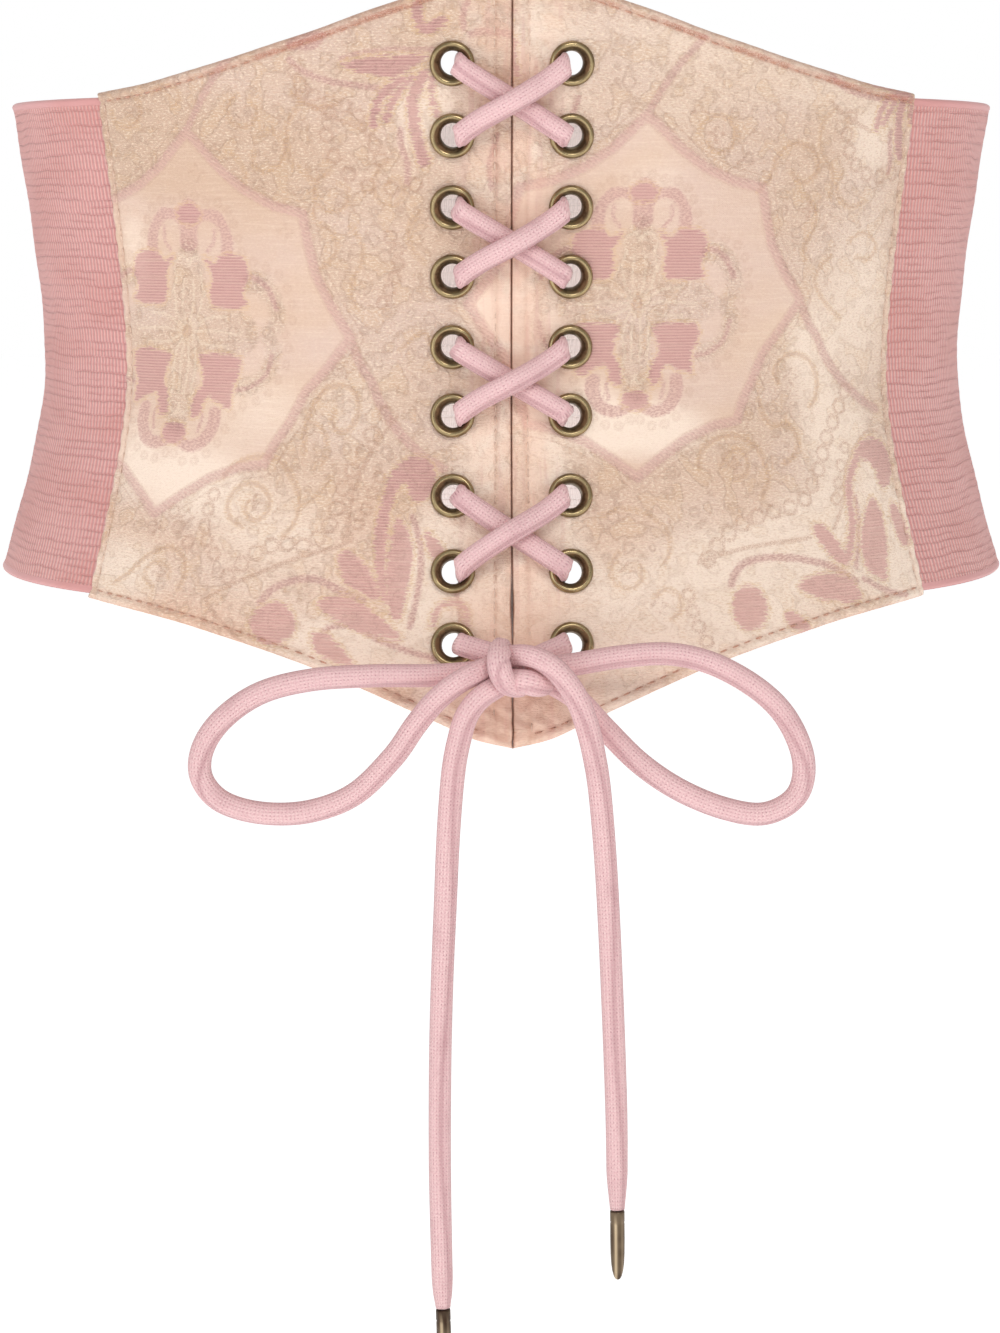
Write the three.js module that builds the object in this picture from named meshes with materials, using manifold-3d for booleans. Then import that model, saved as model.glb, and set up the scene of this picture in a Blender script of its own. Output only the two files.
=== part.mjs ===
import * as THREE from "three";
import { mergeVertices } from "three/addons/utils/BufferGeometryUtils.js";
import Module from "manifold-3d";

const wasm = await Module();
wasm.setup();

// A laced corset belt in the form it has when worn: two stiff brocade panels meet at the
// centre front, a wide elastic band joins their outer edges round the back, and one braided
// lace runs through nine pairs of eyelets and is tied in a bow with two hanging tails.
// Millimetres. The origin is the middle of the waist at its narrowest level, +Z is up,
// -Y is the front, and +X is to the right for someone who faces the front.

// The waist that the inner faces lie on, an oval that flares above and below its narrowest level
const waistHalfWidth = 124.2;
const waistHalfDepth = 92;
const upperFlare = 0.16; // slope of the sides well above the waist
const lowerFlare = 0.32; // slope of the sides well below the waist
const waistBend = 24; // height over which the narrowest level turns into the flares
const frontFlareShare = 0.7; // the front and back flare less than the sides

// Elastic band
const elasticTop = 69;
const elasticBottom = -58.5;
const elasticThickness = 1.2;

// Brocade panels
const panelThickness = 2.8;
const seamAngle = THREE.MathUtils.degToRad(51.2); // from the centre front to the side seams
const panelOverhang = 1.2; // the panels stand this far above and below the elastic at the seams
const peakRise = 28.5; // from the side seam up to the centre front's upper point
const tipDrop = 31.5; // from the side seam down to the centre front's lower point
const centreGap = 0.8; // between the two panels
const sewnIn = 9; // length of elastic inside each side seam
const clearance = 0.3; // between pieces that touch in the real belt

// The panels' upper and lower edges: along runs from the centre front to the side seam, and
// rise and drop are shares of peakRise and tipDrop
const edgeTable = [
  { along: 0, rise: 1, drop: 1 },
  { along: 0.07, rise: 0.95, drop: 0.935 },
  { along: 0.13, rise: 0.87, drop: 0.83 },
  { along: 0.2, rise: 0.77, drop: 0.71 },
  { along: 0.3, rise: 0.64, drop: 0.55 },
  { along: 0.4, rise: 0.5, drop: 0.41 },
  { along: 0.5, rise: 0.385, drop: 0.3 },
  { along: 0.6, rise: 0.275, drop: 0.21 },
  { along: 0.72, rise: 0.165, drop: 0.12 },
  { along: 0.85, rise: 0.065, drop: 0.055 },
  { along: 1, rise: 0, drop: 0 },
];

// Eyelets
const eyeletInset = 14.6; // from the centre front to the eyelets' axes
const eyeletTop = 76; // level of the first row
const eyeletColumn = 142.4; // from the first row down to the last
const rowShare = [0, 0.122, 0.244, 0.363, 0.486, 0.607, 0.747, 0.876, 1]; // of eyeletColumn
const boreRadius = 3;
const barrelWall = 0.5;
const flangeWidth = 2.5; // from the bore to the front flange's edge
const flangeHeight = 1.1;
const backFlangeWidth = 1.7;
const backFlangeHeight = 0.6;

// Lace
const laceRadius = 2.5;
const agletRadius = 1.8;
const agletLength = 17.5;
const knotHalf = { across: 8, deep: 5, high: 7.5 };
const knotOffset = { across: 2.5, down: 4.8 }; // of the knot from the middle of the last row
const laceRise = 0.25; // of a strand over the panels' crown between two eyelets
const overStrandShares = [-0.25, 0, 0.25]; // of the span, where an upper strand rides over a lower one

// Facets
const panelColumns = 13;
const panelRows = 16;
const elasticColumns = 28;
const elasticRows = 8;
const eyeletSides = 12;
const laceSides = 8;

// The bow's loops and tails, each a list of [x, y, z] points measured from the knot's middle
const bowRoutes = {
  bow_loop_left: [
    [-0.5, -1, -0.9],
    [-10.5, -1, -2.9],
    [-22.5, -1.5, -3.5],
    [-37.5, -2.5, -3.3],
    [-51.5, -3.5, -4.1],
    [-63.5, -4, -7.1],
    [-72.5, -4.5, -12.9],
    [-77.5, -5, -19.9],
    [-77.9, -5.5, -26.9],
    [-73, -6, -32.7],
    [-63.5, -6.5, -35.5],
    [-52, -6.5, -35.5],
    [-41, -7, -32.5],
    [-31.3, -8, -26.8],
    [-22.8, -8.5, -18.2],
    [-16.5, -8, -9.3],
    [-11.1, -5.9, -1.9],
    [-5, -2.5, 1.6],
  ],
  bow_loop_right: [
    [0.5, -2, -0.3],
    [11.2, -2.9, 0.1],
    [23.5, -2.7, 1.9],
    [35.5, -2.7, 2.5],
    [46.5, -3, -0.2],
    [57.3, -3.5, -6.5],
    [64.1, -4, -13.9],
    [67.8, -4.5, -23.6],
    [66.1, -5, -31.9],
    [58.5, -5.5, -36.2],
    [48.8, -5.5, -35],
    [37.8, -5, -30.5],
    [28.1, -4, -24.4],
    [19.6, -3.3, -17.1],
    [12.5, -2.9, -10.5],
    [4.5, -1.5, -4.9],
  ],
  lace_tail_left: [
    [0, -3.7, -3.4],
    [-5.1, -7.1, -6.9],
    [-11.1, -8.5, -12.5],
    [-15.1, -9.1, -20.9],
    [-17.4, -9.1, -31.9],
    [-18.5, -8.7, -46.9],
    [-19.4, -8.1, -64.9],
    [-20.3, -7.5, -84.9],
    [-20.6, -7.1, -107.7],
    [-20.6, -6.9, -132.9],
    [-19.9, -6.9, -158.6],
  ],
  lace_tail_right: [
    [1, -3, 2.6],
    [3.9, -8.4, 2.9],
    [8.5, -11.1, -1.3],
    [13.1, -11.7, -10.1],
    [16.1, -11.1, -22.5],
    [18.3, -10.1, -37.4],
    [19.9, -9.1, -57.3],
    [21.2, -8.1, -82.4],
    [22.4, -7.3, -107.8],
    [22.8, -6.9, -134.1],
  ],
};

const lerp = THREE.MathUtils.lerp;

// How far the waist has flared at a level
function flareAt(level) {
  const slope = level > 0 ? upperFlare : lowerFlare;
  return slope * (Math.hypot(level, waistBend) - waistBend);
}

function flareSlopeAt(level) {
  const slope = level > 0 ? upperFlare : lowerFlare;
  return (slope * level) / Math.hypot(level, waistBend);
}

// The waist's surface at an angle from the centre front and a level: its point and its normal
function waistAt(angle, level) {
  const [sine, cosine] = [Math.sin(angle), Math.cos(angle)];
  const flare = flareAt(level);
  const halfWidth = waistHalfWidth + flare;
  const halfDepth = waistHalfDepth + frontFlareShare * flare;
  const slope = flareSlopeAt(level);
  const position = new THREE.Vector3(halfWidth * sine, -halfDepth * cosine, level);
  const round = new THREE.Vector3(halfWidth * cosine, halfDepth * sine, 0);
  const upward = new THREE.Vector3(slope * sine, -frontFlareShare * slope * cosine, 1);
  return { position, normal: round.cross(upward).normalize() };
}

function skinAt(angle, level, outward) {
  const { position, normal } = waistAt(angle, level);
  return position.addScaledVector(normal, outward);
}

// The angle at which the panel's outer face reaches a distance from the centre plane
function angleAt(across, level) {
  return Math.asin(across / (waistHalfWidth + flareAt(level) + panelThickness));
}

const edgeShares = new THREE.CubicInterpolant(
  edgeTable.map((row) => row.along),
  edgeTable.flatMap((row) => [row.rise, row.drop]),
  2,
);

function panelEdges(angle) {
  const [rise, drop] = edgeShares.evaluate(Math.min(1, Math.abs(angle) / seamAngle));
  return {
    top: elasticTop + panelOverhang + peakRise * rise,
    bottom: elasticBottom - panelOverhang - tipDrop * drop,
  };
}

// A box of rows and columns bent into a wall: place takes shares across, up and outward
function bentWall(columns, rows, place) {
  const geometry = new THREE.BoxGeometry(1, 1, 1, columns, rows, 1);
  const at = geometry.attributes.position;
  for (let i = 0; i < at.count; i++) {
    const p = place(at.getX(i) + 0.5, at.getY(i) + 0.5, at.getZ(i) + 0.5);
    at.setXYZ(i, p.x, p.y, p.z);
  }
  return geometry;
}

function solidOf(geometry) {
  const bare = geometry.clone();
  bare.deleteAttribute("normal");
  bare.deleteAttribute("uv");
  const merged = mergeVertices(bare, 1e-4);
  return new wasm.Manifold(
    new wasm.Mesh({
      numProp: 3,
      vertProperties: new Float32Array(merged.attributes.position.array),
      triVerts: new Uint32Array(merged.index.array),
    }),
  );
}

function geometryOf(solid) {
  const mesh = solid.getMesh();
  const geometry = new THREE.BufferGeometry();
  geometry.setAttribute("position", new THREE.BufferAttribute(mesh.vertProperties, 3));
  geometry.setIndex(new THREE.BufferAttribute(mesh.triVerts, 1));
  geometry.computeVertexNormals();
  return geometry;
}

const belt = new THREE.Group();
belt.name = "corset_belt";

function add(name, geometry, material) {
  const mesh = new THREE.Mesh(geometry, material);
  mesh.name = name;
  belt.add(mesh);
  return mesh;
}

const brocade = new THREE.MeshStandardMaterial({ color: 0xe9c8b2, roughness: 0.62, metalness: 0 });
const elastic = new THREE.MeshStandardMaterial({ color: 0xd99a9a, roughness: 0.8, metalness: 0 });
const lace = new THREE.MeshStandardMaterial({ color: 0xe9b6bd, roughness: 0.75, metalness: 0 });
const brass = new THREE.MeshStandardMaterial({ color: 0x8a6f45, roughness: 0.35, metalness: 1 });

// The elastic's wall, grown by a margin where it serves as the cutter for its own pocket
function elasticWall(margin) {
  const speed = Math.hypot(waistHalfWidth * Math.cos(seamAngle), waistHalfDepth * Math.sin(seamAngle));
  const start = seamAngle - (sewnIn + margin) / speed;
  const inner = (panelThickness - elasticThickness) / 2 - margin;
  const outer = (panelThickness + elasticThickness) / 2 + margin;
  return bentWall(elasticColumns, elasticRows, (across, up, outward) =>
    skinAt(
      lerp(start, 2 * Math.PI - start, across),
      lerp(elasticBottom - margin, elasticTop + margin, up),
      lerp(inner, outer, outward),
    ),
  );
}

// Where each eyelet sits: its middle on the panel's outer face, its axis and its level
function eyeletSeat(side, row) {
  const level = eyeletTop - eyeletColumn * rowShare[row];
  const angle = side * angleAt(eyeletInset, level);
  const { normal } = waistAt(angle, level);
  return { middle: skinAt(angle, level, panelThickness), axis: normal, level };
}

const yAxis = new THREE.Vector3(0, 1, 0);

function eyeletHole(seat) {
  const radius = boreRadius + barrelWall + clearance;
  const hole = new THREE.CylinderGeometry(radius, radius, 4 * panelThickness, eyeletSides);
  hole.applyQuaternion(new THREE.Quaternion().setFromUnitVectors(yAxis, seat.axis));
  return hole.translate(...seat.middle);
}

function eyeletGeometry() {
  const seat = clearance;
  const crest = seat + flangeHeight;
  const backSeat = -panelThickness - clearance;
  const backCrest = backSeat - backFlangeHeight;
  const barrel = boreRadius + barrelWall;
  const flange = boreRadius + flangeWidth;
  const profile = [
    [boreRadius, backCrest],
    [boreRadius + backFlangeWidth, backSeat],
    [barrel, backSeat],
    [barrel, seat],
    [flange, seat],
    [boreRadius + flangeWidth / 2, crest],
    [boreRadius, seat + flangeHeight / 2],
    [boreRadius, backCrest],
  ].map(([radius, height]) => new THREE.Vector2(radius, height));
  return new THREE.LatheGeometry(profile, eyeletSides);
}

function panelSolid(side, seats, pocket) {
  const gapAngle = centreGap / 2 / waistHalfWidth;
  const [from, to] = side < 0 ? [-seamAngle, -gapAngle] : [gapAngle, seamAngle];
  const wall = bentWall(panelColumns, panelRows, (across, up, outward) => {
    const angle = lerp(from, to, across);
    const { top, bottom } = panelEdges(angle);
    return skinAt(angle, lerp(bottom, top, up), panelThickness * outward);
  });
  return seats.reduce(
    (solid, seat) => solid.subtract(solidOf(eyeletHole(seat))),
    solidOf(wall).subtract(pocket),
  );
}

const sides = { left: -1, right: 1 };
const seats = Object.fromEntries(
  Object.entries(sides).map(([name, side]) => [name, rowShare.map((_, row) => eyeletSeat(side, row))]),
);

const pocket = solidOf(elasticWall(clearance));
add("elastic_band", elasticWall(0), elastic);
for (const [name, side] of Object.entries(sides)) {
  add(`brocade_panel_${name}`, geometryOf(panelSolid(side, seats[name], pocket)), brocade);
  seats[name].forEach((seat, row) => {
    const eyelet = add(`eyelet_${name}_${row + 1}`, eyeletGeometry(), brass);
    eyelet.position.copy(seat.middle);
    eyelet.quaternion.setFromUnitVectors(yAxis, seat.axis);
  });
}

// The lace's line through one eyelet, from the strand in front of the panel to the one behind:
// a quarter turn round the front lip, straight down the bore, and a quarter turn behind
function throughEyelet(seat, frontWay, backWay) {
  const frontLip = clearance + flangeHeight;
  const backLip = panelThickness + clearance + backFlangeHeight;
  const turn = (way, lip, outward) =>
    [90, 45, 0].map((degrees) => {
      const a = THREE.MathUtils.degToRad(degrees);
      return seat.middle
        .clone()
        .addScaledVector(way, boreRadius * (1 - Math.cos(a)))
        .addScaledVector(seat.axis, outward * (lip + boreRadius * Math.sin(a)));
    });
  return [...turn(frontWay, frontLip, 1), ...turn(backWay, backLip, -1).reverse()];
}

// The direction from one seat towards a point, along the panel's face
function wayTo(seat, target) {
  return target.clone().sub(seat.middle).projectOnPlane(seat.axis).normalize();
}

// The points where a strand crosses the centre front, lying on the panels or over the other strand
function crossing(level, levelStep, isOver) {
  const lying = laceRadius + clearance + laceRise;
  const over = lying + 2 * laceRadius + 2 * clearance;
  const shares = isOver ? overStrandShares : [0];
  return shares.map((share) => {
    const height = !isOver ? lying : share === 0 ? over : (over + lying) / 2;
    const there = level + share * levelStep;
    return skinAt(angleAt(2 * eyeletInset * share, there), there, panelThickness + height);
  });
}

const lastRow = rowShare.length - 1;
const lastLevel = seats.left[lastRow].level;
const knotMiddle = skinAt(0, lastLevel - knotOffset.down, panelThickness + knotHalf.deep + laceRadius);
knotMiddle.x += knotOffset.across;

// One half of the lacing, from the knot up to the first row: it goes in and out of the panels
// and changes sides between the rows of each pair
function halfLacing(firstSide) {
  const other = { left: "right", right: "left" };
  const line = [];
  let side = firstSide;
  let seat = seats[side][lastRow];
  line.push(knotMiddle.clone());
  line.push(...throughEyelet(seat, wayTo(seat, knotMiddle), wayTo(seat, seats[side][lastRow - 1].middle)));
  for (let row = lastRow - 1; row > 0; row -= 2) {
    const from = seats[side][row];
    const to = seats[other[side]][row - 1];
    const below = seats[side][row + 1];
    const isLast = row === 1;
    const above = isLast ? seats[side][0] : seats[other[side]][row - 2];
    line.push(...throughEyelet(from, wayTo(from, to.middle), wayTo(from, below.middle)).reverse());
    const middle = (from.level + to.level) / 2;
    const levelStep = to.level - from.level;
    const across = crossing(middle, side === "left" ? levelStep : -levelStep, side === "left");
    line.push(...(side === "left" ? across : across.reverse()));
    line.push(...throughEyelet(to, wayTo(to, from.middle), wayTo(to, above.middle)));
    side = other[side];
  }
  return line;
}

// A step of the sweep for each point of the route, so that tight turns keep their shape
class PointwiseRoute extends THREE.CatmullRomCurve3 {
  getPointAt(share, target) {
    return this.getPoint(share, target);
  }
  getTangentAt(share, target) {
    return this.getTangent(share, target);
  }
}

function sweptLace(points) {
  const section = new THREE.Shape().absarc(0, 0, laceRadius, 0, 2 * Math.PI);
  return new THREE.ExtrudeGeometry(section, {
    steps: points.length - 1,
    curveSegments: laceSides / 2,
    extrudePath: new PointwiseRoute(points),
  });
}

function knotSolid(margin) {
  const ball = new THREE.SphereGeometry(1, 12, 8);
  ball.scale(knotHalf.across + margin, knotHalf.deep + margin, knotHalf.high + margin);
  return ball.translate(...knotMiddle);
}

const routes = Object.fromEntries(
  Object.entries(bowRoutes).map(([name, offsets]) => [
    name,
    offsets.map((offset) => knotMiddle.clone().add(new THREE.Vector3(...offset))),
  ]),
);
const aroundKnot = solidOf(knotSolid(clearance));
add("bow_knot", knotSolid(0), lace);
const lacingLine = [...halfLacing("left"), ...halfLacing("right").reverse()];
add("lacing", geometryOf(solidOf(sweptLace(lacingLine)).subtract(aroundKnot)), lace);
for (const [name, route] of Object.entries(routes)) {
  add(name, geometryOf(solidOf(sweptLace(route)).subtract(aroundKnot)), lace);
}

// The metal tip on the end of each tail, a crimped tube with a rounded foot
function agletGeometry() {
  const round = agletRadius / 2;
  const profile = [
    [0, -agletLength],
    [agletRadius - round, -agletLength],
    [agletRadius, -agletLength + round],
    [agletRadius, 0],
    [0, 0],
  ].map(([radius, height]) => new THREE.Vector2(radius, height));
  return new THREE.LatheGeometry(profile, eyeletSides);
}

for (const name of Object.keys(sides)) {
  const [before, end] = routes[`lace_tail_${name}`].slice(-2);
  const way = end.clone().sub(before).normalize();
  const aglet = add(`aglet_${name}`, agletGeometry(), brass);
  aglet.position.copy(end).addScaledVector(way, clearance);
  aglet.quaternion.setFromUnitVectors(yAxis, way.negate());
}

export default belt;
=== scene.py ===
import math

import bmesh
import bpy
import numpy as np
from mathutils import Matrix, Vector


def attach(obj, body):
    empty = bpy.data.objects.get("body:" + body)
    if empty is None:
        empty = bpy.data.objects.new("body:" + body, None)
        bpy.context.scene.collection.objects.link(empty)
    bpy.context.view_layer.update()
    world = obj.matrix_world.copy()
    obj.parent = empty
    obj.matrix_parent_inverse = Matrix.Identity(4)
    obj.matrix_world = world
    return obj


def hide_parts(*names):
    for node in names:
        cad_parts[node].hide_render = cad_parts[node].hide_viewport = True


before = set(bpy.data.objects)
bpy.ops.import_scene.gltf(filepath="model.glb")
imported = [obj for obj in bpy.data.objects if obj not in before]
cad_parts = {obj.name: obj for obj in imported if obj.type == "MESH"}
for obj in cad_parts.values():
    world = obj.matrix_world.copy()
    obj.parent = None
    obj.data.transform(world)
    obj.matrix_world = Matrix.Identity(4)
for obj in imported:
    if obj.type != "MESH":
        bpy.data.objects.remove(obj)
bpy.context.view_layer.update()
mm = 0.001
print("frame loaded:", len(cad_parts), "nodes")

# The waist that everything follows, in millimetres, as the solids have it
waist = {
    "halfWidth": 124.2,
    "halfDepth": 92,
    "upperFlare": 0.16,
    "lowerFlare": 0.32,
    "bend": 24,
    "frontShare": 0.7,
    "clothReach": 2.6,
}


def flareAt(level):
    slope = np.where(level > 0, waist["upperFlare"], waist["lowerFlare"])
    return slope * (np.hypot(level, waist["bend"]) - waist["bend"])


def waistNormal(angle, level):
    angle, level = np.broadcast_arrays(angle, np.asarray(level, float))
    slope = np.where(level > 0, waist["upperFlare"], waist["lowerFlare"]) * level
    slope = slope / np.hypot(level, waist["bend"])
    halfWidth = waist["halfWidth"] + flareAt(level)
    halfDepth = waist["halfDepth"] + waist["frontShare"] * flareAt(level)
    around = np.stack([halfWidth * np.cos(angle), halfDepth * np.sin(angle), 0 * level], -1)
    rise = -waist["frontShare"] * slope * np.cos(angle)
    upward = np.stack([slope * np.sin(angle), rise, 1 + 0 * level], -1)
    normal = np.cross(around, upward)
    return normal / np.linalg.norm(normal, axis=-1, keepdims=True)


def waistPoint(angle, level, outward):
    angle, level, outward = np.broadcast_arrays(angle, np.asarray(level, float), outward)
    halfWidth = waist["halfWidth"] + flareAt(level)
    halfDepth = waist["halfDepth"] + waist["frontShare"] * flareAt(level)
    point = np.stack([halfWidth * np.sin(angle), -halfDepth * np.cos(angle), level], -1)
    return point + outward[..., None] * waistNormal(angle, level)


# Distance round the cloth from the centre front, at the waist's own level
arcAngles = np.linspace(-2 * math.pi, 2 * math.pi, 4001)
clothWidth = waist["halfWidth"] + waist["clothReach"]
clothDepth = waist["halfDepth"] + waist["clothReach"]
arcSpeeds = np.hypot(clothWidth * np.cos(arcAngles), clothDepth * np.sin(arcAngles))
arcLengths = np.cumsum(arcSpeeds) * (arcAngles[1] - arcAngles[0])
arcLengths = arcLengths - np.interp(0, arcAngles, arcLengths)


def arcAt(angle):
    return np.interp(angle, arcAngles, arcLengths)


def angleOfArc(arc):
    return np.interp(arc, arcLengths, arcAngles)


# Camera, light and floor
shot = {
    "lens": 80,
    "distance": 0.825,
    "height": 0.0415,
    "azimuth": -1.4,
    "tilt": 84.5,
    "shiftX": -0.0015,
    "shiftY": -0.132,
}
studio = {
    "floorLevel": -0.3,
    "floorSize": 6,
    "floorGlow": 0.6,
    "ambient": 0.42,
    "keyPower": 14.6,
    "fillPower": 5.6,
    "topPower": 2.8,
}

turn = math.radians(shot["azimuth"])
cameraData = bpy.data.cameras.new("camera")
cameraData.lens = shot["lens"]
cameraData.shift_x = shot["shiftX"]
cameraData.shift_y = shot["shiftY"]
camera = bpy.data.objects.new("camera", cameraData)
camera.location = (shot["distance"] * math.sin(turn), -shot["distance"] * math.cos(turn), shot["height"])
camera.rotation_euler = (math.radians(shot["tilt"]), 0, turn)
bpy.context.scene.collection.objects.link(camera)
bpy.context.scene.camera = camera
bpy.context.scene.view_settings.view_transform = "Standard"


def addLight(name, place, target, size, power, colour):
    data = bpy.data.lights.new(name, "AREA")
    data.shape = "DISK"
    data.size = size
    data.energy = power
    data.color = colour
    lamp = bpy.data.objects.new(name, data)
    lamp.location = place
    aim = Vector(target) - Vector(place)
    lamp.rotation_euler = aim.to_track_quat("-Z", "Y").to_euler()
    bpy.context.scene.collection.objects.link(lamp)


addLight("key", (0.3, -1.75, 1.35), (0, 0, 0), 0.9, studio["keyPower"], (1, 0.985, 0.96))
addLight("fill", (-1.5, -1.1, 0.2), (0, 0, 0), 1.2, studio["fillPower"], (0.97, 0.98, 1))
addLight("top", (0.1, 0.9, 1.7), (0, 0, 0), 1.2, studio["topPower"], (1, 1, 1))


# Shader maths: an Amount is one socket, and an expression on amounts adds its Math nodes
class Amount:
    def __init__(self, finish, socket):
        self.finish = finish
        self.socket = socket

    def worked(self, operation, first, second=None):
        return self.finish.node("ShaderNodeMath", {"operation": operation}, [first, second])

    def __add__(self, other):
        return self.worked("ADD", self, other)

    def __sub__(self, other):
        return self.worked("SUBTRACT", self, other)

    def __rsub__(self, other):
        return self.worked("SUBTRACT", other, self)

    def __mul__(self, other):
        return self.worked("MULTIPLY", self, other)

    def __truediv__(self, other):
        return self.worked("DIVIDE", self, other)

    __radd__ = __add__
    __rmul__ = __mul__

    def size(self):
        return self.worked("ABSOLUTE", self)

    def sine(self):
        return self.worked("SINE", self)

    def fraction(self):
        return self.worked("FRACT", self)

    def most(self, other):
        return self.worked("MAXIMUM", self, other)

    def least(self, other):
        return self.worked("MINIMUM", self, other)

    def between(self, low, high):
        settings = {"interpolation_type": "SMOOTHSTEP"}
        inputs = {"Value": self, "From Min": low, "From Max": high}
        return self.finish.node("ShaderNodeMapRange", settings, inputs)


def tone(red, green, blue):
    shares = [value / 255 for value in (red, green, blue)]
    return [s / 12.92 if s <= 0.04045 else ((s + 0.055) / 1.055) ** 2.4 for s in shares] + [1]


class Finish:
    def __init__(self, name):
        self.material = bpy.data.materials.new(name)
        self.material.use_nodes = True
        self.tree = self.material.node_tree
        self.shader = self.tree.nodes["Principled BSDF"]

    def feed(self, socket, value):
        if isinstance(value, Amount):
            self.tree.links.new(value.socket, socket)
        elif value is not None:
            socket.default_value = value

    def node(self, kind, settings=None, inputs=None, output=0):
        made = self.tree.nodes.new(kind)
        for key, value in (settings or {}).items():
            setattr(made, key, value)
        given = inputs.items() if isinstance(inputs, dict) else enumerate(inputs or [])
        for key, value in given:
            self.feed(made.inputs[key], value)
        return Amount(self, made.outputs[output])

    def attribute(self, name, output="Fac"):
        return self.node("ShaderNodeAttribute", {"attribute_name": name}, output=output)

    def parts(self, vector):
        split = self.node("ShaderNodeSeparateXYZ", None, [vector])
        return [Amount(self, output) for output in split.socket.node.outputs]

    def stretched(self, vector, scale):
        return self.node("ShaderNodeVectorMath", {"operation": "MULTIPLY"}, [vector, scale])

    def noise(self, vector, scale, detail=2.0, roughness=0.5):
        inputs = {"Vector": vector, "Scale": scale, "Detail": detail, "Roughness": roughness}
        return self.node("ShaderNodeTexNoise", None, inputs)

    # Noise with its own pitch across and up the cloth
    def clothNoise(self, cloth, across, up, detail=2.0, roughness=0.5):
        return self.noise(self.stretched(cloth, (across, up, 1)), 1.0, detail, roughness)

    # The colour sockets of a Mix node are its seventh and eighth inputs and its third output
    def mix(self, share, first, second):
        return self.node("ShaderNodeMix", {"data_type": "RGBA"}, {0: share, 6: first, 7: second}, 2)

    def bump(self, height, distance, strength=1.0):
        inputs = {"Strength": strength, "Distance": distance * mm, "Height": height}
        return self.node("ShaderNodeBump", None, inputs)

    def wear(self, **values):
        for name, value in values.items():
            self.feed(self.shader.inputs[name.replace("_", " ")], value)
        return self.material


world = bpy.data.worlds.new("studio")
world.use_nodes = True
bpy.context.scene.world = world
worldNodes = world.node_tree
litSide = worldNodes.nodes["Background"]
litSide.inputs["Strength"].default_value = studio["ambient"]
litSide.inputs["Color"].default_value = (1, 1, 1, 1)
seenSide = worldNodes.nodes.new("ShaderNodeBackground")
seenSide.inputs["Color"].default_value = (1, 1, 1, 1)
sightline = worldNodes.nodes.new("ShaderNodeLightPath")
chosen = worldNodes.nodes.new("ShaderNodeMixShader")
worldNodes.links.new(sightline.outputs["Is Camera Ray"], chosen.inputs[0])
worldNodes.links.new(litSide.outputs[0], chosen.inputs[1])
worldNodes.links.new(seenSide.outputs[0], chosen.inputs[2])
worldNodes.links.new(chosen.outputs[0], worldNodes.nodes["World Output"].inputs[0])

floorFinish = Finish("studio floor")
floorFinish.wear(Base_Color=tone(248, 248, 248), Roughness=0.9, Emission_Color=(1, 1, 1, 1))
floorFinish.wear(Emission_Strength=studio["floorGlow"])
floorBm = bmesh.new()
bmesh.ops.create_circle(floorBm, cap_ends=True, segments=96, radius=studio["floorSize"])
bmesh.ops.translate(floorBm, verts=floorBm.verts, vec=(0, 0, studio["floorLevel"]))
floorMesh = bpy.data.meshes.new("floor")
floorBm.to_mesh(floorMesh)
floorBm.free()
floor = bpy.data.objects.new("floor", floorMesh)
floor.data.materials.append(floorFinish.material)
bpy.context.scene.collection.objects.link(floor)
print("camera, lights and floor set")


# Curves through listed points
def splineThrough(points, perSpan=16, closed=False):
    points = np.asarray(points, float)
    if closed:
        padded = np.vstack([points[-1:], points, points[:2]])
    else:
        padded = np.vstack([2 * points[:1] - points[1:2], points, 2 * points[-1:] - points[-2:-1]])
    share = np.linspace(0, 1, perSpan, endpoint=False)[:, None]
    rows = []
    for a, b, c, d in zip(padded[:-3], padded[1:-2], padded[2:-1], padded[3:]):
        bend = (2 * a - 5 * b + 4 * c - d) * share**2 + (3 * b - a - 3 * c + d) * share**3
        rows.append(b + 0.5 * ((c - a) * share + bend))
    if not closed:
        rows.append(points[-1:])
    return np.vstack(rows)


def lengthsAlong(line):
    steps = np.linalg.norm(np.diff(line, axis=0), axis=1)
    return np.concatenate([[0], np.cumsum(steps)])


def evenly(line, step, *others):
    along = lengthsAlong(line)
    at = np.linspace(0, along[-1], max(3, round(along[-1] / step) + 1))
    return [np.stack([np.interp(at, along, column) for column in rows.T], -1) for rows in (line, *others)]


def unit(vectors):
    return vectors / np.maximum(np.linalg.norm(vectors, axis=-1, keepdims=True), 1e-9)


# A bmesh grid whose vertices carry their shares across, up and through the thickness
def gridBm(columns, rows, uvName=None):
    bm = bmesh.new()
    if uvName:
        bm.loops.layers.uv.new(uvName)
    bmesh.ops.create_grid(bm, x_segments=columns, y_segments=rows, size=0.5, calc_uvs=bool(uvName))
    return bm


def finished(bm, name, material):
    mesh = bpy.data.meshes.new(name)
    bm.to_mesh(mesh)
    bm.free()
    mesh.polygons.foreach_set("use_smooth", [True] * len(mesh.polygons))
    mesh.materials.append(material)
    piece = bpy.data.objects.new(name, mesh)
    bpy.context.scene.collection.objects.link(piece)
    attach(piece, "root")
    return piece


def verticesOf(mesh):
    flat = np.empty(3 * len(mesh.vertices))
    mesh.vertices.foreach_get("co", flat)
    return flat.reshape(-1, 3)


def moveVertices(mesh, points):
    mesh.vertices.foreach_set("co", np.ascontiguousarray(points * mm).ravel())
    mesh.update()


def addAttribute(mesh, name, values):
    kind = "FLOAT" if values.ndim == 1 else "FLOAT_VECTOR"
    layer = mesh.attributes.new(name, kind, "POINT")
    key = "value" if values.ndim == 1 else "vector"
    layer.data.foreach_set(key, np.ascontiguousarray(values, dtype=np.float32).ravel())


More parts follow.
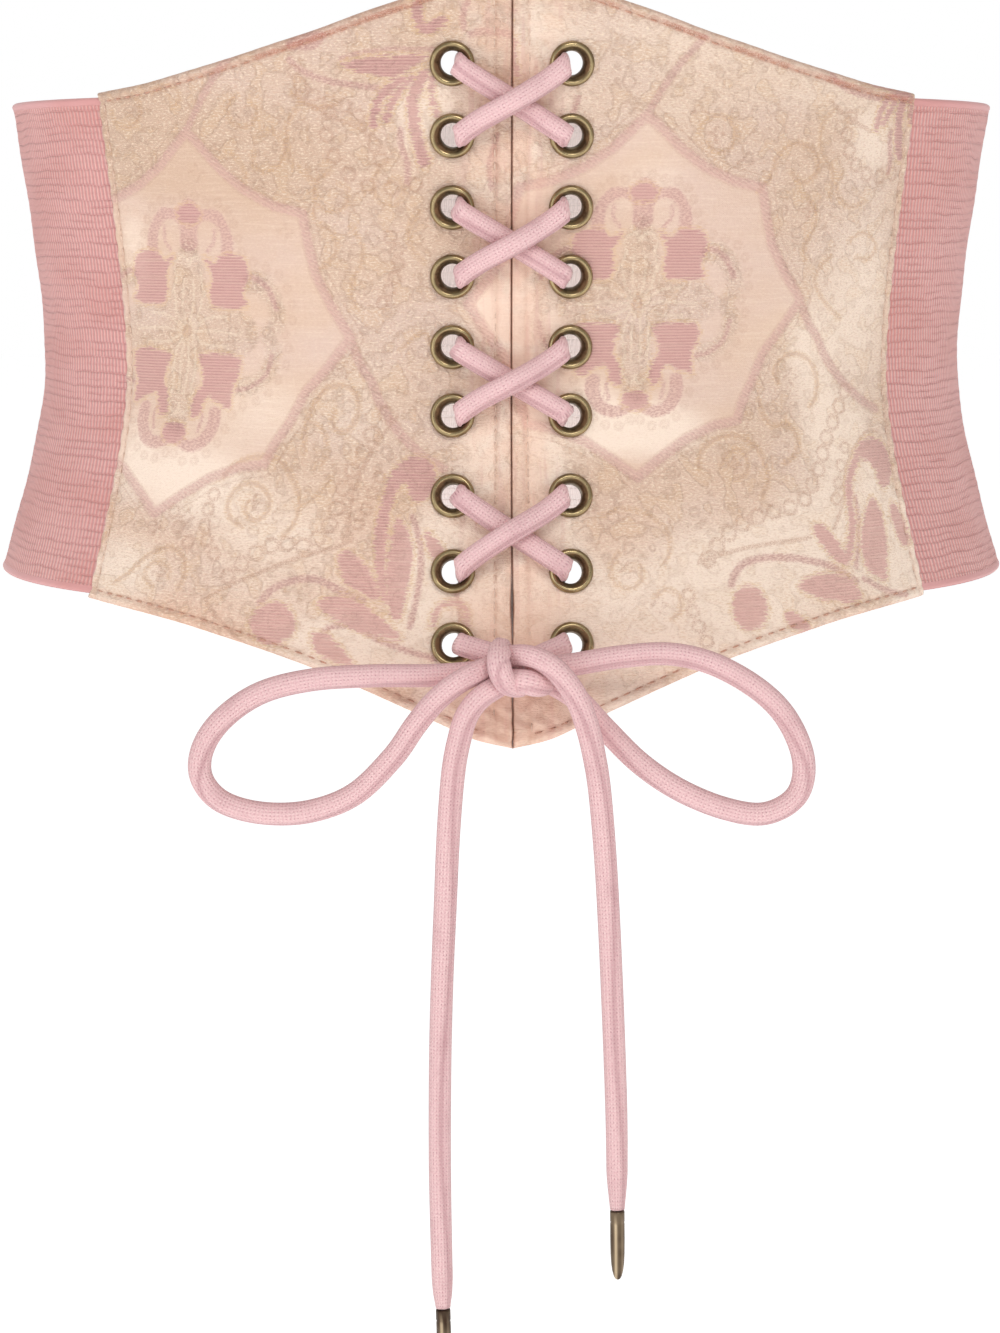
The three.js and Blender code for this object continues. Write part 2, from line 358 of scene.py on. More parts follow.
# Lace
lace = {
    "radius": 2.5,
    "ringStep": 0.8,
    "sides": 24,
    "pressed": 0.8,
    "spread": 1.1,
    "wales": 20,
    "stitch": 0.95,
    "foldDepth": 0.11,
    "foldWidth": 0.26,
    "edgeShade": 0.8,
    "widest": 1.12,
    "foldSide": (0.3, -0.6, -0.74),
    "pink": tone(229, 177, 182),
    "lit": tone(248, 214, 212),
    "deep": tone(172, 112, 122),
}

laceFinish = Finish("braided lace")
braid = laceFinish.node("ShaderNodeUVMap", {"uv_map": "braid"})
roundShare, along, _ = laceFinish.parts(braid)
wale = ((roundShare * lace["wales"]).fraction() - 0.5).size() * 2
stitch = (((along / lace["stitch"]) + wale * 0.55).fraction() - 0.5).size() * 2
braidHeight = (1 - wale * wale) * 0.55 + (1 - stitch * stitch) * 0.45
braidSpeck = laceFinish.noise(laceFinish.stretched(braid, (34, 2.2, 1)), 1.0, 3.0, 0.6)
braidDrift = laceFinish.noise(laceFinish.stretched(braid, (3, 0.08, 1)), 1.0, 2.0)
# Painted highlight on the raised yarns, mixed with random speckle, and painted shade in the gaps between
# them
braidLight = braidHeight.between(0.35, 0.95) * 0.35 + braidSpeck.between(0.3, 0.7) * 0.65
braidColour = laceFinish.mix(braidLight, lace["pink"], lace["lit"])
braidGapShade = braidHeight.between(0.42, 0.12) * braidSpeck.between(0.6, 0.4)
braidColour = laceFinish.mix(braidGapShade * 0.8, braidColour, lace["deep"])
# Painted shade along the braid's fold crease and along its edges, from the fold attribute
braidColour = laceFinish.mix(laceFinish.attribute("fold") * 0.5, braidColour, lace["deep"])
braidColour = laceFinish.mix(braidDrift.between(0.5, 0.8) * 0.25, braidColour, lace["deep"])
laceFinish.wear(
    Base_Color=braidColour,
    Roughness=0.62,
    Sheen_Weight=0.25,
    Sheen_Roughness=0.4,
    Normal=laceFinish.bump(braidHeight * 0.8 + braidSpeck * 0.7, 0.32, 0.8),
)


# A tube of braid along a line, flattened along the press directions and scaled by the widths
def laceTube(name, route, press=None, flatness=None, widths=None, perSpan=16):
    line = splineThrough(route, perSpan)
    steps = np.linspace(0, 1, len(line))
    keys = np.linspace(0, 1, len(route))
    if press is not None:
        pressLine = splineThrough(press, perSpan)
    else:
        pressLine = np.tile([0, -1.0, 0], (len(line), 1))
    shares = flatness if flatness is not None else [lace["pressed"]] * len(route)
    scale = widths if widths is not None else [1] * len(route)
    extra = np.stack([np.interp(steps, keys, shares), np.interp(steps, keys, scale)], -1)
    line, pressLine, extra = evenly(line, lace["ringStep"], pressLine, extra)
    tangents = unit(np.gradient(line, axis=0))
    pressed = unit(pressLine - (pressLine * tangents).sum(-1, keepdims=True) * tangents)
    first = Vector(tangents[0]).orthogonal().normalized()
    sideways = [np.array(first)]
    for tangent in tangents[1:]:
        carried = sideways[-1] - sideways[-1].dot(tangent) * tangent
        sideways.append(carried / np.linalg.norm(carried))
    sideways = np.array(sideways)
    upright = np.cross(tangents, sideways)
    under = np.array(lace["foldSide"])
    under = unit(under - (tangents @ under)[:, None] * tangents)
    wander = 0.35 * np.sin(lengthsAlong(line) * 0.07 + len(line))[:, None]
    under = np.cos(wander) * under + np.sin(wander) * np.cross(tangents, under)
    foldShades = []

    bm = gridBm(lace["sides"], len(line) - 1, "braid")
    for vert in bm.verts:
        ring = round((vert.co.y + 0.5) * (len(line) - 1))
        turnBy = 2 * math.pi * (vert.co.x + 0.5)
        spoke = math.cos(turnBy) * sideways[ring] + math.sin(turnBy) * upright[ring]
        through = spoke.dot(pressed[ring])
        lean = math.acos(max(-1, min(1, spoke.dot(under[ring]))))
        fold = math.exp(-((lean / lace["foldWidth"]) ** 2))
        # The fold attribute carries painted shade: the crease on the lower side and both edges of the
        # flattened braid
        foldShades.append(max(fold, lace["edgeShade"] * (1 - abs(through)) ** 1.5))
        flat = extra[ring, 0]
        wide = min(lace["widest"], 1 + (1 - flat) * (lace["spread"] - 1) / (1 - lace["pressed"]))
        spoke = wide * spoke + (flat - wide) * through * pressed[ring]
        reach = lace["radius"] * extra[ring, 1] * (1 - lace["foldDepth"] * fold)
        vert.co = Vector((line[ring] + reach * spoke) * mm)
    foldShadeLayer = bm.verts.layers.float.new("fold")
    for vert, fold in zip(bm.verts, foldShades):
        vert[foldShadeLayer] = fold
    bmesh.ops.remove_doubles(bm, verts=bm.verts, dist=1e-7)
    rims = [edge for edge in bm.edges if edge.is_boundary]
    bmesh.ops.holes_fill(bm, edges=rims, sides=0)
    bmesh.ops.recalc_face_normals(bm, faces=bm.faces)
    braidLayer = bm.loops.layers.uv["braid"]
    length = lengthsAlong(line)[-1]
    for face in bm.faces:
        for corner in face.loops:
            corner[braidLayer].uv = (corner[braidLayer].uv.x, corner[braidLayer].uv.y * length)
    piece = finished(bm, name, laceFinish.material)
    return piece, line


# The bow: each loop and tail is a list of points measured from the knot's middle
bow = {
    "knotMiddle": (2.5, -113.5, -69.1),
    "loopLeft": [
        (-0.5, -1, -0.9), (-10.5, -1, -2), (-22.5, -1.5, -2.7), (-37.5, -2.5, -2.6),
        (-51.5, -3.5, -3.4), (-63.5, -4, -6.4), (-72.5, -4.5, -12.4), (-77.5, -5, -19.6),
        (-77.9, -5.5, -26.7), (-73, -6, -32.5), (-63.5, -6.5, -35.3), (-52, -6.8, -34.9),
        (-41, -7.3, -30.6), (-31.8, -8, -21.6), (-26.2, -8.3, -13.6), (-21.6, -8.4, -8),
        (-16.6, -8.2, -3.8), (-11.6, -7, -1.3), (-6, -4, 0.6),
    ],
    "loopRight": [
        (0.5, -2, -1.3), (11.2, -2.9, 0), (23.5, -2.7, 1.9), (35.5, -2.7, 2.5), (46.5, -3, -0.2),
        (57.3, -3.5, -6.5), (64.1, -4, -13.9), (67.8, -4.5, -23.6), (66.1, -5, -31.9),
        (58.5, -5.5, -36.2), (48.8, -5.5, -35), (37.8, -5, -30.5), (28.1, -4, -24),
        (19.6, -3.3, -15.6), (12.3, -2.9, -8), (4.5, -2, -3.4),
    ],
    "tailLeft": [
        (-1.4, -4.6, -2.4), (-5.9, -7.4, -4.2), (-10.5, -8.6, -6.9), (-13.8, -9, -11),
        (-15.6, -9.2, -16.4), (-17.2, -9.2, -25), (-18.4, -8.7, -40), (-19.2, -8.3, -58),
        (-20, -7.7, -77), (-20.5, -7.3, -98), (-20.6, -7, -124), (-20.1, -6.9, -151),
        (-19.9, -6.9, -158.6),
    ],
    "tailRight": [
        (-3.4, -5.5, 2.6), (0.2, -8.6, 3.1), (3.9, -10.6, 2.3), (7.4, -11.4, 0), (10.5, -11.8, -3.7),
        (12.9, -11.8, -8), (14.8, -11.5, -13.4), (16.4, -11.1, -20), (18, -10.5, -30),
        (19.7, -9.3, -50), (21.2, -8.1, -78), (22.4, -7.3, -107.8), (22.7, -7, -125),
        (22.8, -6.9, -134.1),
    ],
    "wrap": [
        (-5, 1.5, 1), (-5.6, -3.5, 4.2), (-6, -8, 4), (-6.3, -10.9, 1.6), (-5.6, -11.4, -1.2),
        (-3.9, -10.2, -3.6), (-0.8, -7, -4.8), (1, -3, -4),
    ],
    "tuck": [
        (-4.4, -5.5, -3), (-2.6, -9, -2.8), (0.2, -10.2, -3), (2.8, -9.2, -3.8), (4.8, -6, -4.6),
        (5.2, -2, -4.4),
    ],
}


def fromKnot(offsets):
    return np.array(offsets, float) + np.array(bow["knotMiddle"])


loopWidth = 1.03
tailWidths = [1, 1, 1, 1.02, 1.04, 1.06, 1.06, 1.04, 1.02, 1, 1, 0.99, 0.95, 0.66]
loops = {}
for side in ("Left", "Right"):
    route = fromKnot(bow[f"loop{side}"])
    widths = [loopWidth] * len(route)
    loops[side], line = laceTube(f"bow_loop_{side.lower()}_braid", route, widths=widths)
    loops[side + "Line"] = line
    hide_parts(f"bow_loop_{side.lower()}")
tails = {}
for side in ("Left", "Right"):
    route = fromKnot(bow[f"tail{side}"])
    widths = tailWidths[-len(route):]
    tails[side], line = laceTube(f"lace_tail_{side.lower()}_braid", route, widths=widths)
    tails[side + "Line"] = line
    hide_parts(f"lace_tail_{side.lower()}")
wrapWidths = [0.8, 0.95, 1.05, 1.06, 1.05, 1.0, 0.9, 0.8]
tuckWidths = [0.8, 1.0, 1.12, 1.1, 0.95, 0.8]
wrap, _ = laceTube("bow_knot_wrap", fromKnot(bow["wrap"]), widths=wrapWidths)
tuck, _ = laceTube("bow_knot_tuck", fromKnot(bow["tuck"]), widths=tuckWidths)
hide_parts("bow_knot")
print("bow made")

# Eyelets sit on the panels at these shares of their column
eyelets = {
    "inset": 14.6,
    "top": 76,
    "column": 142.4,
    "rows": [0, 0.122, 0.244, 0.363, 0.486, 0.607, 0.747, 0.876, 1],
    "bore": 3.0,
    "flange": 5.5,
    "height": 1.15,
    "backFlange": 4.7,
    "backHeight": 0.6,
    "seat": 0.3,
    "segments": 48,
}

# The front panels and the elastic, whose edges the panels' edges start from
panel = {
    "thickness": 2.8,
    "seamAngle": math.radians(51.2),
    "overhang": 1.2,
    "peakRise": 28.5,
    "tipDrop": 31.5,
    "centreGap": 0.8,
    "seenGap": 0.02,
    "columns": 158,
    "rows": 268,
    "meshWidth": 112,
    "meshHeight": 150,
    "edgeRound": 1.3,
    "grooveDepth": 0.42,
    "sideGroove": 2.3,
    "centreGroove": 3.6,
    "holeRadius": 3.9,
    "topSlope": 0.94,
    "bottomSlope": 0.93,
    "ripple": 0.2,
    "drift": 0.24,
    "hemRise": 0.22,
    "tipWrinkle": 0.55,
    "pucker": 0.16,
    "sunk": 0.2,
    "slit": 0.3,
    "slitLevel": -57,
    "stripHalfWidth": 1.15,
}
edgeAlong = [0, 0.07, 0.13, 0.2, 0.3, 0.4, 0.5, 0.6, 0.72, 0.85, 1]
edgeRise = [1, 0.95, 0.87, 0.77, 0.64, 0.5, 0.385, 0.275, 0.165, 0.065, 0]
edgeDrop = [1, 0.935, 0.83, 0.71, 0.55, 0.41, 0.3, 0.21, 0.12, 0.055, 0]
elastic = {
    "top": 69,
    "bottom": -58.5,
    "thickness": 1.2,
    "sewnIn": 9,
    "columns": 300,
    "rows": 84,
    "edgeRound": 0.6,
    "lipRise": 0.25,
}

edgeCurve = splineThrough(np.stack([edgeAlong, edgeRise, edgeDrop], -1))


def panelEdges(angle):
    along = np.minimum(1, np.abs(angle) / panel["seamAngle"])
    rise = panel["peakRise"] * np.interp(along, edgeCurve[:, 0], edgeCurve[:, 1])
    drop = panel["tipDrop"] * np.interp(along, edgeCurve[:, 0], edgeCurve[:, 2])
    return elastic["top"] + panel["overhang"] + rise, elastic["bottom"] - panel["overhang"] - drop


def angleAt(across, level):
    return np.arcsin(across / (waist["halfWidth"] + flareAt(level) + panel["thickness"]))


def eyeletSeat(side, row):
    level = eyelets["top"] - eyelets["column"] * eyelets["rows"][row]
    angle = side * angleAt(eyelets["inset"], level)
    axis = waistNormal(angle, level)
    middle = waistPoint(angle, level, panel["thickness"])
    return {"angle": angle, "level": level, "axis": axis, "middle": middle}


seats = {side: [eyeletSeat(side, row) for row in range(9)] for side in (-1, 1)}

# The lacing: one line from the knot up one side and down the other
lacing = {
    "frontLip": 1.4,
    "backLip": 3.7,
    "lying": 2.7,
    "over": 7.4,
    "shift": 1.75,
    "backShift": 1.7,
    "squeezed": 0.54,
    "backFlat": 0.7,
}


def inPlane(seat, target):
    way = target - seat["middle"]
    return unit(way - way.dot(seat["axis"]) * seat["axis"])


# Points through one eyelet, each with the direction that it is pressed in and its flatness: the
# braid is squeezed against the side of the bore that is nearer to the middle of the belt
def throughEyelet(seat, frontWay, backWay):
    inward = inPlane(seat, seat["middle"] * (0.2, 1, 1))
    rows = []
    for degrees in (90, 45, 0):
        a = math.radians(degrees)
        lean = math.sin(a) * 0.7
        leaving = unit((1 - lean) * inward + lean * frontWay)
        place = lacing["shift"] * math.cos(a) * inward
        place = place + eyelets["bore"] * (1.08 - math.cos(a)) * leaving
        height = lacing["frontLip"] + eyelets["bore"] * math.sin(a) * 0.9
        push = math.sin(a) * seat["axis"] - math.cos(a) * inward
        flat = lace["pressed"] - (lace["pressed"] - lacing["squeezed"]) * math.cos(a)
        rows.append((seat["middle"] + place + height * seat["axis"], push, flat))
    for degrees in (0, 45, 90):
        a = math.radians(degrees)
        aside = lacing["shift"] + lacing["backShift"] * math.sin(a)
        place = aside * inward + eyelets["bore"] * (1 - math.cos(a)) * backWay
        depth = lacing["backLip"] + eyelets["bore"] * math.sin(a)
        push = -math.sin(a) * seat["axis"] - math.cos(a) * inward
        flat = lacing["backFlat"] - (lacing["backFlat"] - lacing["squeezed"]) * math.cos(a)
        rows.append((seat["middle"] + place - depth * seat["axis"], push, flat))
    return rows


def crossing(level, levelStep, isOver):
    rows = []
    for share in ((-0.25, 0, 0.25) if isOver else (0,)):
        middle = lacing["over"] if share == 0 else (lacing["over"] + lacing["lying"]) / 2
        height = middle if isOver else lacing["lying"]
        there = level + share * levelStep
        angle = angleAt(2 * eyelets["inset"] * share, there)
        place = waistPoint(angle, there, panel["thickness"] + height)
        rows.append((place, waistNormal(angle, there), lace["pressed"]))
    return rows


def halfLacing(firstSide):
    side = firstSide
    knot = fromKnot((0, 0, 0))
    lowest = seats[side][8]
    rows = [(knot, lowest["axis"], lace["pressed"])]
    rows += throughEyelet(lowest, inPlane(lowest, knot), inPlane(lowest, seats[side][7]["middle"]))
    for row in (7, 5, 3, 1):
        start = seats[side][row]
        end = seats[-side][row - 1]
        above = seats[side][0] if row == 1 else seats[-side][row - 2]
        frontWay = inPlane(start, end["middle"])
        rows += throughEyelet(start, frontWay, inPlane(start, seats[side][row + 1]["middle"]))[::-1]
        levelStep = end["level"] - start["level"]
        rows += crossing((start["level"] + end["level"]) / 2, -side * levelStep, side < 0)[:: -side]
        rows += throughEyelet(end, inPlane(end, start["middle"]), inPlane(end, above["middle"]))
        side = -side
    return rows


lacingRows = halfLacing(-1) + halfLacing(1)[::-1]
lacingRoute, lacingPress, lacingFlatness = zip(*lacingRows)
lacingBraid, _ = laceTube("lacing_braid", lacingRoute, lacingPress, lacingFlatness, perSpan=10)
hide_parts("lacing")
print("lacing made")

# Brocade: shapes charted in millimetres on the cloth, across then up. A medallion in an
# ogee frame and a spray of leaves repeat over both panels. Halves marked "mirror" are drawn twice.
medallionShapes = [
    ("frame", "fill", [
        (-0.7, 46.4), (2.8, 43.5), (8.4, 38.2), (14.9, 33.6), (22.9, 30.2), (30.2, 28.7), (32, 21.6),
        (34.3, 14.6), (38.9, 7.4), (44.2, 0.6), (38.8, -7.2), (34.4, -12.6), (31.4, -20.1),
        (28.7, -25), (27, -30), (20.6, -31.1), (13, -34.3), (6.2, -38.9), (0.1, -43.7), (-6.2, -38.9),
        (-13, -34.3), (-20.6, -31.1), (-27, -30), (-28.7, -25), (-31.4, -20.1), (-34.4, -12.6),
        (-38.8, -7.2), (-44.2, 0.6), (-38.9, 7.4), (-34.3, 14.6), (-32, 21.6), (-30.2, 28.7),
        (-22.9, 30.2), (-14.9, 33.6), (-8.4, 38.2), (-3.4, 43.5),
    ], "sharp"),
    ("pink", "fill", [
        (4.6, 17.6), (7.4, 16.2), (10, 18.2), (15.6, 17.6), (16.8, 13), (15.6, 9.5), (16.6, 6.6),
        (8, 6.2), (6.4, 9.8), (7, 13.4),
    ], "mirror"),
    ("pink", "fill", [
        (4.9, -5.4), (15.2, -5.2), (15.8, -9.4), (14.4, -13), (14.8, -17.6), (10.8, -16.2),
        (7.6, -15.4), (5.6, -20.2), (3.6, -19.4), (4.2, -15.4), (6, -12.2), (5.4, -9),
    ], "mirror"),
    ("blush", "fill", [
        (12.2, 17.8), (12.4, 22), (10.4, 26.2), (7.8, 28.6), (4, 28.6), (1.4, 30.4), (-0.6, 30.4),
        (-0.6, 19.6), (2.4, 19.8), (2.6, 24.4), (5.2, 26.2), (8.4, 24.6), (9.4, 21.4), (9.4, 17.6),
    ], "mirror"),
    ("pink", "fill", [
        (0, 25.4), (2.3, 25.8), (3.2, 28), (1.2, 29.4), (-0.4, 29.4), (-0.4, 25.2),
    ], "mirror"),
    ("blush", "fill", [
        (12, -18), (12.4, -22.6), (9.8, -27), (5.4, -28.6), (1.6, -27.4), (-0.6, -26), (-0.6, -22.2),
        (2.2, -22.6), (3.6, -25.4), (6.8, -25.2), (9, -22), (9.2, -18),
    ], "mirror"),
    ("pink", "fill", [
        (-0.4, -22.4), (2.6, -22.6), (3.4, -24.4), (1.8, -26.2), (-0.4, -26.6),
    ], "mirror"),
    ("filigree", "fill", [
        (16.4, 13.4), (19.4, 15), (24, 12), (26.4, 7.4), (27, 3), (25, 0), (26.8, -3.2), (25.4, -9),
        (21, -13.4), (16.4, -14.2), (16.6, -10.8), (20.4, -9.6), (22.8, -6.4), (23, -3.4), (21, 0.2),
        (23.2, 3.6), (22.4, 7.2), (19, 10.2), (16.6, 10.4),
    ], "mirror"),
    ("blush", 0.7, [(15, 12.8), (18.6, 13.4), (22.4, 10.8), (24.6, 6.6)], "mirror"),
    ("blush", 0.5, [(24.4, -4.4), (23.4, -9), (19.6, -12.2), (15.6, -13.2)], "mirror"),
    ("filigree", "fill", [
        (-0.6, 19.2), (3.6, 16.6), (5, 9), (8, 5.4), (16, 5), (19.8, 1.6), (19.8, -2), (15.8, -4.8),
        (7, -4.6), (4, -8), (4.2, -14), (3, -21), (-0.6, -21.6),
    ], "mirror"),
    ("blush", 0.4, [(5.4, 19), (7.2, 21.2), (7.2, 24.2)], "mirror"),
    ("blush", 0.4, [(6, -17.6), (7.4, -20.4), (6.6, -23.8)], "mirror"),
    ("line", 0.22, [(1.2, 1.2), (3.4, 4.6), (4.2, 9)], "mirror"),
    ("line", 0.22, [(0.5, 1.6), (1.6, 6.4), (1.4, 12)], "mirror"),
    ("line", 0.22, [(1.8, 0.8), (6.2, 3.4), (11.4, 3.9)], "mirror"),
    ("line", 0.22, [(2, 0), (7.6, 0.4), (15.6, -0.2)], "mirror"),
    ("line", 0.22, [(1.8, -0.8), (6, -2.8), (12, -3)], "mirror"),
    ("line", 0.22, [(1.2, -1.4), (3, -5), (3.2, -10.6)], "mirror"),
    ("line", 0.22, [(0.4, -1.8), (1.2, -7), (0.8, -15)], "mirror"),
    ("line", 0.22, [(5.2, 8.6), (3.6, 12.4), (4.4, 15.6), (1.6, 17.6), (0, 15.4)], "mirror"),
    ("line", 0.22, [(3.8, -8.6), (2.8, -13), (3.4, -17.4), (0.8, -20), (0, -17.6)], "mirror"),
    ("gold", 1.3, [(0, 1.6), (0.1, -1.8)]),
    ("band", 1.1, [
        (44.3, -0.4), (47.5, -5.8), (50.6, -9.5), (52.8, -13.4), (55.4, -16.8), (58.5, -20.3),
        (61.8, -23.2), (65.8, -26.1), (70.7, -28.5),
    ]),
    ("band", 0.8, [(-0.7, 46.4), (1.7, 50.9), (4.3, 55.4), (7.3, 59.8), (11.6, 65)]),
    ("rings", 0.9, [
        (1.8, 31.8), (4.9, 30.6), (8.2, 30.4), (10.9, 28.6), (12.6, 25.8), (13.9, 22.4), (15, 19.2),
        (18.2, 17.1), (21.6, 16), (24.9, 14.4), (27.2, 11.4), (28.6, 7.8), (29, 4.2), (27.4, 0.8),
        (28.6, -2.6), (28.4, -6.4), (26.8, -10), (24.6, -13.2), (21.6, -15.4), (18.2, -16.6),
        (15.6, -19), (14.4, -22.4), (13, -25.8), (10.6, -28.6), (7.6, -30.4), (4.2, -30.8),
        (1.2, -29.2),
    ], "mirror"),
]
leafShapes = [
    ("pink", "fill", [
        (-4.8, 14.5), (-3.8, 19.2), (-1.6, 22.4), (1.6, 24.4), (5, 24), (7.6, 20.6), (6.6, 16),
        (4.2, 13.6), (1.8, 14.6), (0.4, 18.2), (-1.6, 16.2), (-3, 10.9), (-3.6, 3.6), (-3.2, -4.9),
        (-1.2, -12.4), (-3.6, -10.4), (-5.7, -2.5), (-6.3, 6),
    ]),
    ("pink", "fill", [
        (-1, 9.5), (1.4, 6.1), (2.8, 1.3), (2.4, -4.8), (1.4, -11), (-0.1, -15.4), (-2.1, -12.5),
        (-3, -7.3), (-2.9, -1.2), (-2.2, 4.6),
    ]),
    ("pink", "fill", [
        (-14.6, 0.4), (-11.3, 0.6), (-7.4, -2.9), (-4.3, -10), (-7.6, -9.3), (-11.2, -7.5),
        (-13.6, -4.6),
    ]),
    ("pink", "fill", [
        (-19, -11.6), (-13.3, -9.8), (-8, -11.6), (-2.5, -16), (1, -20), (-4.6, -19.2),
        (-10.4, -17.4), (-15.2, -14.8),
    ]),
    ("pink", "fill", [
        (-34.4, -17.2), (-32.4, -13.6), (-28.4, -11.8), (-24.6, -14), (-23.4, -18.1), (-25.8, -21.6),
        (-30.6, -22),
    ]),
    ("pink", "fill", [
        (-19.4, -19.4), (-15.9, -19.2), (-12.2, -22.6), (-9, -26.4), (-14.3, -25.3), (-17.9, -23.4),
    ]),
    ("pink", "fill", [(5.6, 6.4), (8.4, 4.2), (11.2, 0.2), (11.4, -3.2), (9, -1.4), (6.6, 1.3)]),
    ("blush", 0.85, [
        (-32.5, -12.2), (-29.5, -8.5), (-24.8, -6.3), (-19.2, -6), (-13.3, -8.6), (-8, -10.8),
    ]),
    ("blush", 0.7, [(2.4, 9.8), (4.4, 3.9), (4.9, -2.3), (4.2, -9.6), (3, -16.8)]),
    ("blush", 0.7, [
        (-17.9, -20.6), (-15.1, -17.4), (-9.5, -17.2), (-3.3, -20.4), (2.7, -22.6), (8.6, -24.4),
    ]),
    ("blush", 0.6, [(8.5, 1.6), (11.6, -4), (13.6, -10), (14.6, -17)]),
    ("pink", 0.6, [(8, -16.7), (9.2, -12.4), (12.3, -10.7), (15.3, -12.3), (16, -17.1)]),
    ("line", 0.4, [(-2.3, 34.6), (-6.4, 29.2), (-9.1, 24.2), (-11.8, 16.9), (-13, 9.5), (-13, 3.4)]),
    ("line", 0.4, [(-13.4, 2.7), (-23.8, -0.5), (-33.2, -4.6), (-41.6, -8.7), (-46.7, -12.1)]),
    ("line", 0.4, [(-46.7, -12.1), (-42.9, -16.1), (-37.2, -20.7)]),
]
rightLeafShapes = [
    ("pink", "fill", [
        (94.4, -19.4), (98.2, -18.5), (101.6, -19.5), (103.7, -22.1), (104.2, -26), (102.9, -29.5),
        (100.4, -31.7), (98.7, -30.3), (98, -27.2), (96.5, -24.6), (94.3, -23.7), (92.5, -22.3),
    ]),
    ("pink", 0.95, [
        (92.7, -22.8), (90.4, -25.8), (88.3, -29.7), (87.7, -34), (87.5, -38.7), (86.1, -43.7),
        (84.2, -48.1),
    ]),
    ("pink", "fill", [
        (94.9, -33.9), (92.1, -37.3), (90.2, -40.9), (89, -44.6), (88.7, -48.4), (89.5, -51.5),
        (91.5, -53.7), (94.5, -54.4), (95.9, -50.5), (97.1, -45.2), (97.3, -39.4), (96.5, -35.8),
    ]),
    ("pink", "fill", [
        (101.6, -35.3), (103.7, -37), (105.1, -41), (105.4, -46.1), (103, -46.5), (101.5, -43.3),
        (100.5, -39.1),
    ]),
    ("pink", "fill", [
        (75.9, -39.6), (78.2, -39.7), (80.6, -42.3), (82.6, -45.5), (84.2, -49.1), (82.5, -50.2),
        (80, -48.3), (77.6, -45.4), (75.9, -42.3),
    ]),
    ("pink", "fill", [
        (69, -54.1), (72.6, -52.3), (77.5, -51.9), (82.5, -53), (84.8, -55.7), (85.7, -58.5),
        (81.7, -59.2), (77.5, -58.6), (73.5, -57.6), (70.3, -56.2),
    ]),
    ("pink", "fill", [
        (64.2, -60.7), (66.7, -61.1), (69, -63), (70.3, -65.1), (68.3, -65.9), (65.9, -64.8),
        (64.3, -62.9),
    ]),
    ("pink", "fill", [
        (51.9, -56.1), (53.7, -54.3), (56.3, -53.6), (58.6, -55), (59.7, -58), (59.2, -61.4),
        (56.8, -64), (53.8, -64.3), (51.6, -62.5), (51, -59.3),
    ]),
    ("blush", 0.85, [
        (51.6, -53.2), (53.2, -50.1), (56.3, -47.8), (61.4, -47), (67.2, -47.3), (73.1, -48.4),
        (79.5, -50.5), (85.1, -54.4),
    ]),
    ("blush", 0.7, [(87.7, -53.9), (91.5, -56.2), (96.1, -58.1), (99.9, -58.9)]),
    ("blush", 0.6, [(89.7, -33.3), (89.5, -38.4), (88.1, -44.6), (86, -50.7)]),
    ("line", 0.4, [
        (44.1, -47.5), (49.7, -45.8), (56.5, -44.3), (63.8, -43.4), (70.7, -43), (74.2, -42.5),
    ]),
    ("line", 0.4, [
        (81.5, -40.9), (84.2, -36.8), (86.4, -32.6), (87.3, -28.1), (89.5, -23.7), (93, -19.8),
        (97, -16.9), (101.4, -17.1),
    ]),
]
